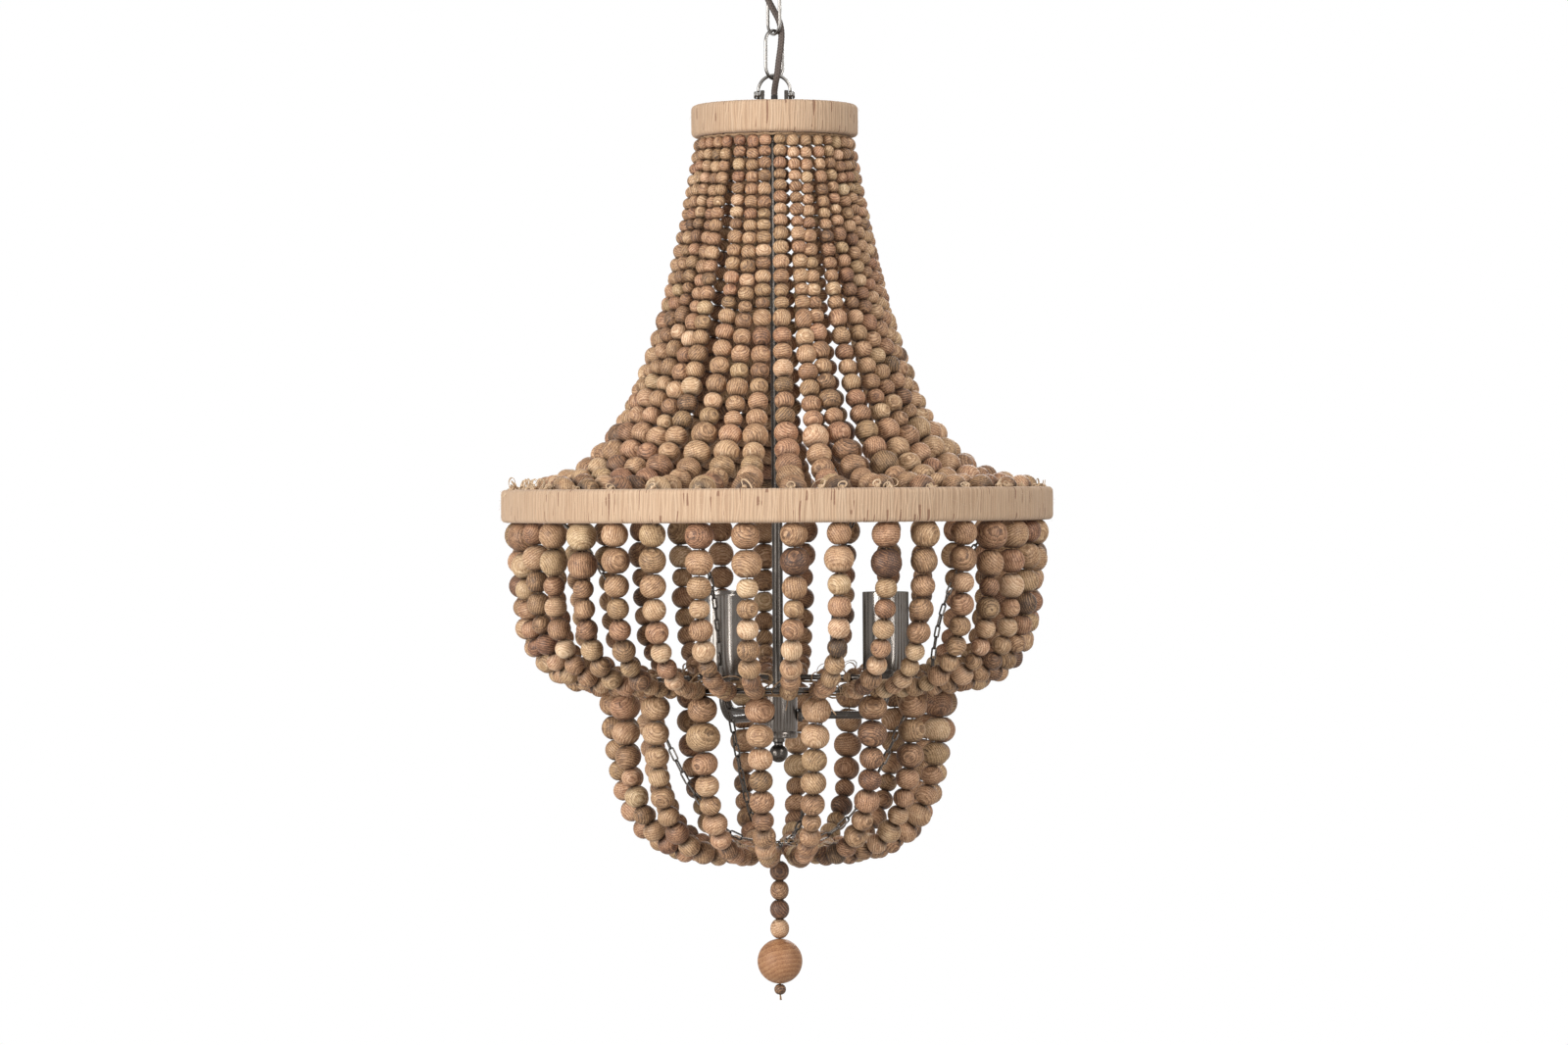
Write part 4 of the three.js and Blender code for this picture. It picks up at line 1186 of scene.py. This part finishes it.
def along_curve(curve, distances):
    """The point and direction at each distance along a curve of (radius, height) points."""
    steps = np.linalg.norm(np.diff(curve, axis=0), axis=1)
    travelled = np.concatenate([[0], np.cumsum(steps)])
    places, ahead = (
        np.stack([np.interp(distances, travelled, table[:, axis]) for axis in (0, 1)], axis=-1)
        for table in (curve, np.gradient(curve, axis=0)))
    return places, direction(ahead), travelled[-1]


big_inner = big_radius - wrap_thickness
chain_wire = 0.85 * mm
chain_tiers = {
    "upper_chain": {
        "start": (50 * mm, spoke_middle - spoke_thickness / 2 - seat_gap),
        "end": (big_inner - seat_gap, -551.8 * mm), "bends": [[0.06, 0.55], [0.3, 1.01]],
        "link": 12 * mm, "width": 5.2 * mm,
    },
    "middle_chain": {
        "start": (big_inner - seat_gap, -561.1 * mm), "end": (hoop_radius, -714.3 * mm),
        "bends": [[0.2, 0], [0.98, 0.3]], "link": 12 * mm, "width": 5.2 * mm,
    },
    "lower_chain": {
        "start": (hoop_radius - hoop_wire - 1.5 * mm, hoop_height), "end": (23.8 * mm, -856.7 * mm),
        "bends": [[0.2, 0], [0.42, 0.97]], "link": 14 * mm, "width": 5.8 * mm,
    },
}
overlap = 2.3 * chain_wire
play = 1.1 * chain_wire
for tier, facts in chain_tiers.items():
    curve = tier_curve(facts["start"], facts["end"], facts["bends"])
    length = along_curve(curve, [0])[2]
    count = round(length / (facts["link"] - overlap))
    spacing = length / count
    places, ahead, _ = along_curve(curve, (np.arange(count) + 0.5) * spacing)
    oval = oval_route(spacing + play, facts["width"] - 2 * chain_wire, 28)
    for k, azimuth in enumerate(chain_azimuths):
        generator = np.random.default_rng(60 + k)
        chain = Shape()
        stand = np.array(Matrix.Rotation(azimuth, 3, "Z")).T
        for link, ((radius, height), (outward, upward)) in enumerate(zip(places, ahead)):
            down = np.array((outward, 0, upward))
            roll = math.radians(90 * (link % 2)) + generator.normal(0, 0.12)
            flat = np.array((-upward * math.cos(roll), math.sin(roll), outward * math.cos(roll)))
            turned_oval = oval @ np.stack([flat, np.cross(down, flat), down])
            tube(chain, (turned_oval + (radius, 0, height)) @ stand, chain_wire, 8, closed=True)
        oval_chain = chain.piece(f"oval_{tier}_{k + 1}", dark_steel)
        fit(oval_chain, "fixture", "dark_steel", f"{tier}_{k + 1}")


# Bead strands: three tiers of hand-turned wooden beads, each bored and threaded on twine and tied
# in below the ring above it. The beads are stained or left pale, no two alike.
def timber(name, tones, darkest, ring_scale):
    """Turned wood: growth rings cut across, long fibres and pores. Each bead has its own tone. The
    ends of each bead, where it meets the next, are painted darker: painted shade.
    """
    finish = Finish(name)
    grain = finish.mark("grain", "Vector")
    tone = finish.mark("tone")
    blush = finish.mark("blush")
    sway = finish.noise(grain, 0.12, 3)
    rings = finish.node(
        "TexWave", {"wave_type": "RINGS", "rings_direction": "Z", "wave_profile": "SAW"},
        {"Vector": grain, "Scale": ring_scale, "Distortion": 3.4, "Detail": 3, "Detail Scale": 0.6,
         "Detail Roughness": 0.6}, "Fac")
    fibres = finish.noise(finish.stretched(grain, (2.6, 2.6, 0.22)), 1, 4, 0.65)
    pores = finish.noise(finish.stretched(grain, (7, 7, 0.8)), 1, 2).between(0.62, 0.72)
    streaks = finish.noise(finish.stretched(grain, (1.1, 1.1, 0.12)), 1, 3, 0.6).between(0.3, 0.7)
    specks = finish.noise(finish.stretched(grain, (3.2, 3.2, 1.1)), 0.22, 3, 0.7)
    lightness = (tone + (rings - 0.5) * 0.34 + (fibres - 0.5) * 0.8 + (sway - 0.5) * 0.5
                 + (streaks - 0.5) * 0.35 + (specks - 0.5) * 0.35)
    stained = finish.ramp(lightness, tones)
    warm = finish.mix(blush, paint(170, 182, 142), paint(198, 152, 138))
    tinted = finish.node("Mix", {"data_type": "RGBA", "blend_type": "SOFT_LIGHT"},
                         {0: 0.4, 6: stained, 7: warm}, output=2)
    # The ends of each bead, where it meets the next, are painted darker: painted shade. The darker
    # pores are the wood's own.
    end_shade = finish.mark("joint")
    pores_and_end_shade = finish.mix(end_shade * 0.8 + pores * 0.3, tinted, darkest)
    return finish.surface(
        Base_Color=pores_and_end_shade,
        Roughness=0.55 + fibres * 0.2 + pores * 0.1,
        Coat_Weight=0.08,
        Coat_Roughness=0.4,
        Normal=finish.bump(fibres * 0.6 + rings * 0.15 - pores * 0.5, 0.3, 0.0003),
    )


bead_wood = timber("bead_wood", [
    (0.05, paint(60, 41, 30)), (0.27, paint(112, 83, 61)), (0.5, paint(164, 128, 98)),
    (0.72, paint(200, 166, 134)), (0.95, paint(232, 206, 176))], paint(38, 25, 18), 0.16)


def bead_mesh(sides, bore, flat_angle=66, steps=9):
    """One bored bead of radius 1, its axis along Z, as corners and faces."""
    curve = np.radians(np.linspace(-flat_angle, flat_angle, steps))
    profile = [(math.cos(a), math.sin(a)) for a in curve]
    profile += [(bore, profile[-1][1] - 0.04), (bore, profile[0][1] + 0.04)]
    rings = [around(radius, whole_turn(sides), height) for radius, height in profile]
    return np.concatenate(rings), grid_faces(len(profile), sides, closed_rows=True)


def random_turns(generator, count):
    """Turns in every direction, as 3 by 3 tables."""
    return np.array([Quaternion(four).normalized().to_matrix()
                     for four in generator.normal(size=(count, 4))])


def threaded_beads(shape, generator, centres, axes, radii, heights, tone_spread=0.15,
                   tone_middle=0.5):
    """Adds a bead at each centre, its bore along the axis there, with its own grain and tone."""
    unit, faces = bead_mesh(18, 0.2)
    count = len(centres)
    corners_each = len(unit)
    axes = direction(axes + generator.normal(0, 0.055, axes.shape))
    helper = np.where(np.abs(axes[:, 2:]) < 0.8, [[0, 0, 1]], [[1, 0, 0]])
    first = direction(np.cross(axes, helper))
    second = np.cross(axes, first)
    lumps = 1 + 0.018 * generator.normal(size=(count, 3))
    local = unit * np.stack([radii * lumps[:, 0], radii * lumps[:, 1], heights], axis=1)[:, None]
    corners = local @ np.stack([first, second, axes], axis=1) + centres[:, None]
    cross_cut = random_turns(generator, count)
    grain = np.einsum("nij,nvj->nvi", cross_cut, local / mm)
    grain += generator.uniform(-60, 60, (count, 1, 3))
    tones = np.clip(generator.normal(tone_middle, tone_spread, count), 0.08, 0.92)
    blushes = np.clip(generator.normal(0.5, 0.28, count), 0, 1)
    # Each bead darkens towards its bore at both ends, where it meets the next: painted shade.
    end_start, end_depth = 0.56, 0.38
    end_shade_share = np.clip((np.abs(unit[:, 2]) - end_start) / end_depth, 0, 1) ** 1.5
    bead_faces = [[corner + bead * corners_each for corner in face]
                  for bead in range(count) for face in faces]
    shape.add(corners.reshape(-1, 3), bead_faces, grain=grain.reshape(-1, 3),
              tone=np.repeat(tones, corners_each), blush=np.repeat(blushes, corners_each),
              joint=np.tile(end_shade_share, count))
    return shape


def strand_route(curve, azimuth, sway, distances):
    """Points on a strand that hangs in the plane of its azimuth but for a gentle sideways sway."""
    places, ahead, length = along_curve(curve, distances)
    share = np.clip(np.asarray(distances) / length, 0, 1)
    aside = (sway[0] * np.sin(math.pi * share) + sway[1] * np.sin(2 * math.pi * share)
             + sway[2] * np.sin(3 * math.pi * share))
    outward = around(1, azimuth, 0)
    up = np.array((0, 0, 1))
    sideways = np.cross(up, outward)
    points = places[:, :1] * outward + aside[:, None] * sideways + places[:, 1:] * up
    axes = ahead[:, :1] * outward + ahead[:, 1:] * up
    slope = np.gradient(aside) / np.maximum(np.gradient(np.asarray(distances, float)), 1e-9)
    return points, axes + slope[:, None] * sideways


def strand_azimuth(index, count, stray):
    """Where a strand or its knot hangs round the ring; stray is in degrees."""
    return math.radians(3.4 + 360 / count * index + stray)


strand_tiers = {
    "upper": {
        "curve": tier_curve((66 * mm, -232.6 * mm), (231.8 * mm, -543.1 * mm),
                            [[0.18, 0.57], [0.37, 1.036]]),
        "diameters": [10.4] * 8 + [12.2] * 6 + [15.2] * 7 + [19.4] * 6,
        "count": 36, "groups": 4, "extra": 0, "lead": 0.6 * mm, "fullness": 1.16,
        "sway": 1.6 * mm, "stray_degrees": 0.4, "tone_spread": 0.1,
    },
    "middle": {
        "curve": tier_curve((230.6 * mm, -570.1 * mm), (147.1 * mm, -717.1 * mm),
                            [[0.1, 0.43], [-0.16, 1.01]]),
        "diameters": [22.5, 22, 18.4, 17.8, 17.4, 16.6, 16, 15.4, 14.6, 14, 13.4],
        "count": 36, "groups": 4, "extra": 0, "lead": 1 * mm, "fullness": 1.08,
        "sway": 1.3 * mm, "stray_degrees": 0.3, "tone_spread": 0.12,
    },
    "lower": {
        "curve": tier_curve((146.5 * mm, -721.1 * mm), (23.8 * mm, -860.85 * mm),
                            [[0.01, 0.61], [0.07, 1.19]]),
        "diameters": [22.4, 22, 19.9, 18.9, 18.3, 17.8, 17.4, 16.8, 16.2, 15.6, 15.2, 14.6],
        "count": 18, "groups": 3, "extra": 12.5, "lead": 1 * mm, "fullness": 1.14,
        "sway": 1.2 * mm, "stray_degrees": 0.3, "tone_spread": 0.12,
    },
}
size_spread = 0.07
size_limit = 0.16


def bead_sizes(generator, facts, length, has_extra):
    """Diameters of the beads down one strand, a little uneven, that fill its length."""
    sizes = np.array(facts["diameters"], float)
    filled = length * sizes.sum() / (sizes.sum() + facts["extra"]) - facts["lead"]
    if has_extra:
        sizes = np.append(sizes, facts["extra"])
        filled = length - facts["lead"]
    spread = generator.normal(0, size_spread, len(sizes))
    sizes = sizes * (1 + np.clip(spread, -size_limit, size_limit))
    return sizes * (filled / sizes.sum())


short_strands = range(15, 21)
neighbour_share = 0.465
sway_shares = np.array((1, 0.55, 0.3))
bead_rise = 1.05
string_radius = 0.75 * mm
string_shape = Shape()
for seed, (tier, facts) in enumerate(strand_tiers.items()):
    generator = np.random.default_rng(100 + seed)
    count = facts["count"]
    per_group = count // facts["groups"]
    length = along_curve(facts["curve"], [0])[2]
    for group in range(facts["groups"]):
        beads = Shape()
        for index in range(group * per_group, (group + 1) * per_group):
            azimuth = strand_azimuth(index, count, generator.normal(0, facts["stray_degrees"]))
            sizes = bead_sizes(generator, facts, length, facts["extra"] and index % 2 == 0)
            if tier == "upper" and index in short_strands:
                sizes = sizes[:-1]
            middles = facts["lead"] + np.cumsum(sizes) - sizes / 2
            sway = generator.normal(0, 1, 3) * facts["sway"] * sway_shares
            string_steps = np.linspace(0, length, 60)
            string_route, _ = strand_route(facts["curve"], azimuth, sway, string_steps)
            tube(string_shape, string_route, string_radius, 6)
            centres, axes = strand_route(facts["curve"], azimuth, sway, middles)
            room = np.hypot(centres[:, 0], centres[:, 1]) * 2 * math.pi / count
            widths = np.minimum(sizes / 2 * facts["fullness"], room * neighbour_share)
            threaded_beads(beads, generator, centres, axes, widths, sizes / 2 * bead_rise,
                           facts["tone_spread"])
        made = beads.piece(f"{tier}_beads_{group + 1}", bead_wood, edge_angle=50)
        fit(made, "fixture", "bead_wood", f"{tier}_strands_{group + 1}")


# Finial: a wire loop on the crossbar carries a waxed string of small beads, and below them a large
# turned ball of figured wood, kept on by an end bead and a knot with a frayed tail.
loop_low, loop_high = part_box("finial_loop")
wire_loop_radius = 4 * mm
wire_loop_wire = 1 * mm
wire_loop_centre = (loop_low.z + loop_high.z) / 2
wire_loop_route = standing_ring(wire_loop_radius, (0, 1), wire_loop_centre, 40)
wire_loop = tube(Shape(), wire_loop_route, wire_loop_wire, 12, closed=True)
fit(wire_loop.piece("finial_wire_loop", dark_steel), "finial_loop", "dark_steel", "finial_loop")

small_bead_radius = 8.7 * mm
small_bead_rise = 1.06
small_bead_heights = np.array([-883.7, -900.8, -917.9, -935]) * mm
end_bead_radius = 5.2 * mm
end_bead_half = 5 * mm
end_bead_height = -989.1 * mm
upright = np.array([[0, 0, 1.0]])
generator = np.random.default_rng(300)
four = np.ones(4)
small_beads = threaded_beads(
    Shape(), generator, small_bead_heights[:, None] * upright, four[:, None] * upright,
    four * small_bead_radius, four * small_bead_radius * small_bead_rise, tone_middle=0.45)
threaded_beads(small_beads, generator, end_bead_height * upright, upright,
               np.array([end_bead_radius]), np.array([end_bead_half]), tone_middle=0.35)
fit(small_beads.piece("finial_beads", bead_wood, edge_angle=50), "finial", "bead_wood",
    "finial_string")

ball_low, ball_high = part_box("finial_ball")
finial_ball_radius = (ball_high.x - ball_low.x) / 2
finial_ball_centre = (ball_low.z + ball_high.z) / 2
bore_radius = 1.3 * mm
heart_aside = 9 * mm
heart_below = 34 * mm
half_open = math.pi / 2 - math.asin(bore_radius / finial_ball_radius)
ball_angles = np.linspace(-half_open, half_open, 40)
ball = turned(Shape(), np.stack([finial_ball_radius * np.cos(ball_angles),
                                 finial_ball_centre + finial_ball_radius * np.sin(ball_angles)],
                                axis=1), 72, closed=True)
ball_grain = (ball.corners[0] - (heart_aside, 0, finial_ball_centre - heart_below)) / mm
ball.marks = {"grain": [ball_grain[:, [0, 2, 1]]], "tone": [np.full(ball.count, 0.5)],
              "blush": [np.full(ball.count, 0.62)]}
ball_wood = timber("ball_wood", [
    (0.05, paint(112, 77, 51)), (0.35, paint(142, 101, 70)), (0.55, paint(161, 120, 86)),
    (0.9, paint(182, 144, 109))], paint(98, 66, 44), 0.075)
fit(ball.piece("figured_ball", ball_wood, edge_angle=50), "finial", "ball_wood", "finial_ball")


# Twine and raffia: the strings inside the beads, the ties under each ring, and the knots of split
# raffia that hold each strand to the wrap, the hoop and the bottom ring. Their tails are left on.
def split_leaf(name, tones):
    """Dried leaf split in strips: fine streaks along it, and paler and darker bundles."""
    finish = Finish(name)
    place = finish.place()
    streaks = finish.noise(finish.stretched(place, (900, 900, 220)), 1, 4, 0.6)
    bundle = finish.noise(place, 55, 2)
    colour = finish.ramp(streaks * 0.6 + bundle * 0.4, tones)
    relief = finish.bump(streaks, 0.5, 0.0003)
    return finish.surface(Base_Color=colour, Roughness=0.75, Normal=relief)


raffia = split_leaf("raffia", [
    (0.25, paint(104, 78, 56)), (0.5, paint(160, 128, 96)), (0.75, paint(208, 182, 148))])
# A paler copy of the same raffia for the knots and ends on top of the big ring, where light falls
# on them: painted light.
pale_raffia = split_leaf("pale_raffia", [
    (0.25, paint(140, 112, 84)), (0.5, paint(198, 170, 138)), (0.75, paint(230, 210, 183))])


def ribbon(shape, route, radius, flatness=0.4):
    """A flattened strip of raffia that narrows to its end."""
    sides = whole_turn(6)
    section = flatness / np.sqrt((flatness * np.cos(sides)) ** 2 + np.sin(sides) ** 2)
    narrowing = np.linspace(1, 0.55, len(route))[:, None]
    return tube(shape, route, radius * narrowing * section[None], 6, twist=0.12)


winding_radius = 0.75 * mm
heart_gap = 1.4 * mm
heart_radius = 1.5 * mm
tail_radius = 1.15 * mm
bow_radius = 0.85 * mm


def knot(shape, generator, azimuth, radius, height, wire, reach, tails, loops):
    """Raffia wound round a wire that runs past its place, a small knot on it, tails and loops."""
    centre = around(radius, azimuth, height)
    outward = around(1, azimuth, 0)
    up = np.array((0, 0, 1))
    sideways = np.cross(up, outward)
    turn = whole_turn(14)[:, None]
    for step in range(3):
        slant = generator.normal(0, 0.25)
        shift = (step - 1) * 1.5 * winding_radius + generator.normal(0, 0.2) * mm
        ring = (centre + sideways * shift + (wire + winding_radius) * generator.uniform(0.95, 1.2)
                * (np.cos(turn) * (outward + sideways * slant) + np.sin(turn) * up))
        tube(shape, ring, winding_radius, 6, closed=True)
    heart = centre + outward * (wire + heart_gap) + up * generator.normal(0, 0.8) * mm
    for _ in range(2):
        tilt = direction(generator.normal(0, 1, 3))
        first = direction(np.cross(tilt, outward))
        ring = heart + heart_radius * (np.cos(turn) * first + np.sin(turn) * np.cross(tilt, first))
        tube(shape, ring, winding_radius, 6, closed=True)
    for _ in range(tails):
        way = direction(outward * generator.uniform(0.1, 0.9) + sideways * generator.normal(0, 0.8)
                        + up * generator.normal(-0.1, 0.6))
        bend = sideways * generator.normal(0, 0.5) + up * generator.uniform(-0.9, 0.1)
        share = np.linspace(0, 1, 7)[:, None]
        tail = reach * generator.uniform(0.5, 1)
        ribbon(shape, heart + tail * (way * share + bend * share ** 2 * 0.6), tail_radius)
    for _ in range(loops):
        lean = direction(sideways * generator.normal(0, 0.5) + outward * generator.normal(0, 0.4)
                         + up * generator.uniform(0.35, 1))
        wide = direction(np.cross(lean, outward))
        size = reach * generator.uniform(0.55, 0.95)
        half = np.linspace(0, 2 * math.pi, 15)[:, None]
        spread = generator.uniform(0.35, 1.2)
        bow = heart + size * (lean * (1 - np.cos(half)) / 2 + wide * np.sin(half) * spread)
        ribbon(shape, bow, bow_radius)


fit(string_shape.piece("bead_strings", raffia), "fixture", "jute")
ring_top = big_wrap_high.z
ring_foot = big_wrap_low.z
knot_gap = 0.6 * mm
thin_wire = 0.8 * mm
knot_stray = 0.4
# Each row: how many, their radius and height, the wire, how far the ends reach, tails and loops.
knot_rows = {
    "hoop_knots": [(36, hoop_radius, hoop_height, hoop_wire, 15 * mm, 4, 1),
                   (18, hoop_radius, hoop_height, hoop_wire, 19 * mm, 3, 1)],
    "ring_top_knots": [(36, 235.5 * mm, ring_top + knot_gap, thin_wire, 6.5 * mm, 1, 1)],
    "ring_foot_knots": [(36, 232 * mm, ring_foot - knot_gap, thin_wire, 5 * mm, 1, 0)],
    "bottom_knots": [(18, bottom_ring_radius, bottom_ring_height, bottom_wire, 9 * mm, 1, 0)],
}
generator = np.random.default_rng(400)
for name, rows in knot_rows.items():
    knots = Shape()
    for count, *facts in rows:
        for index in range(count):
            azimuth = strand_azimuth(index, count, generator.normal(0, knot_stray))
            knot(knots, generator, azimuth, *facts)
    fit(knots.piece(name, pale_raffia if name == "ring_top_knots" else raffia), "fixture", "jute")

tall_ends = [-165, -161, -157, -152, -147, 168, 160, 176, -171]
low_ends = [-81, -69, -66, 128, 74, 31, -34]
raised_radius = 236 * mm
raised_step = 8 * mm
raised_gap = 1 * mm
raised_height = ring_top + raised_gap
tall_reach = 11 * mm
low_reach = 8 * mm
raised_ends = Shape()
for number, place in enumerate(tall_ends):
    knot(raised_ends, generator, math.radians(place), raised_radius - number % 3 * raised_step,
         raised_height, knot_gap, tall_reach, 1, 3)
for place in low_ends:
    knot(raised_ends, generator, math.radians(place), raised_radius, raised_height, knot_gap,
         low_reach, 1, 1)
fit(raised_ends.piece("raised_raffia_ends", pale_raffia), "fixture", "jute")

tie_radius = 1.1 * mm
tie_sag = 0.4 * mm
ties = Shape()
for facts in strand_tiers.values():
    radius, height = facts["curve"][0]
    angles = whole_turn(180)
    route = around(radius, angles, height + tie_sag * np.sin(angles * facts["count"]))
    tube(ties, route, tie_radius, 8, closed=True)
fit(ties.piece("tie_strings", raffia), "fixture", "jute")

tail_string = Shape()
eye_twine = 0.9 * mm
eye_ring_radius = 3 * mm
eye_ring_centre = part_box("finial_string")[1].z - 4 * mm
tail_twine = 0.95 * mm
tail_drop = 2.6 * mm
tube(tail_string, standing_ring(eye_ring_radius, (1, 0), eye_ring_centre, 40), eye_twine, 10,
     closed=True)
tube(tail_string, [(0, 0, eye_ring_centre - tail_drop), (0, 0, finial_ball_centre),
                   (0, 0, end_bead_height - end_bead_half)], tail_twine, 10)
fray_drop = 4 * mm
fray_start = np.array((0, 0, end_bead_height - fray_drop))
fray_length = 2.1 * mm
fray_radius = 0.5 * mm
for _ in range(7):
    aside = generator.normal(0, 0.5, 2)
    share = np.linspace(0, 1, 6)[:, None]
    fall = np.array((*aside, -2.2)) * share + np.array((0, 0, -0.5)) * share ** 2
    ribbon(tail_string, fray_start + fall * fray_length, fray_radius, 0.5)
fit(tail_string.piece("finial_cord_and_tail", raffia), "finial", "bead_wood")
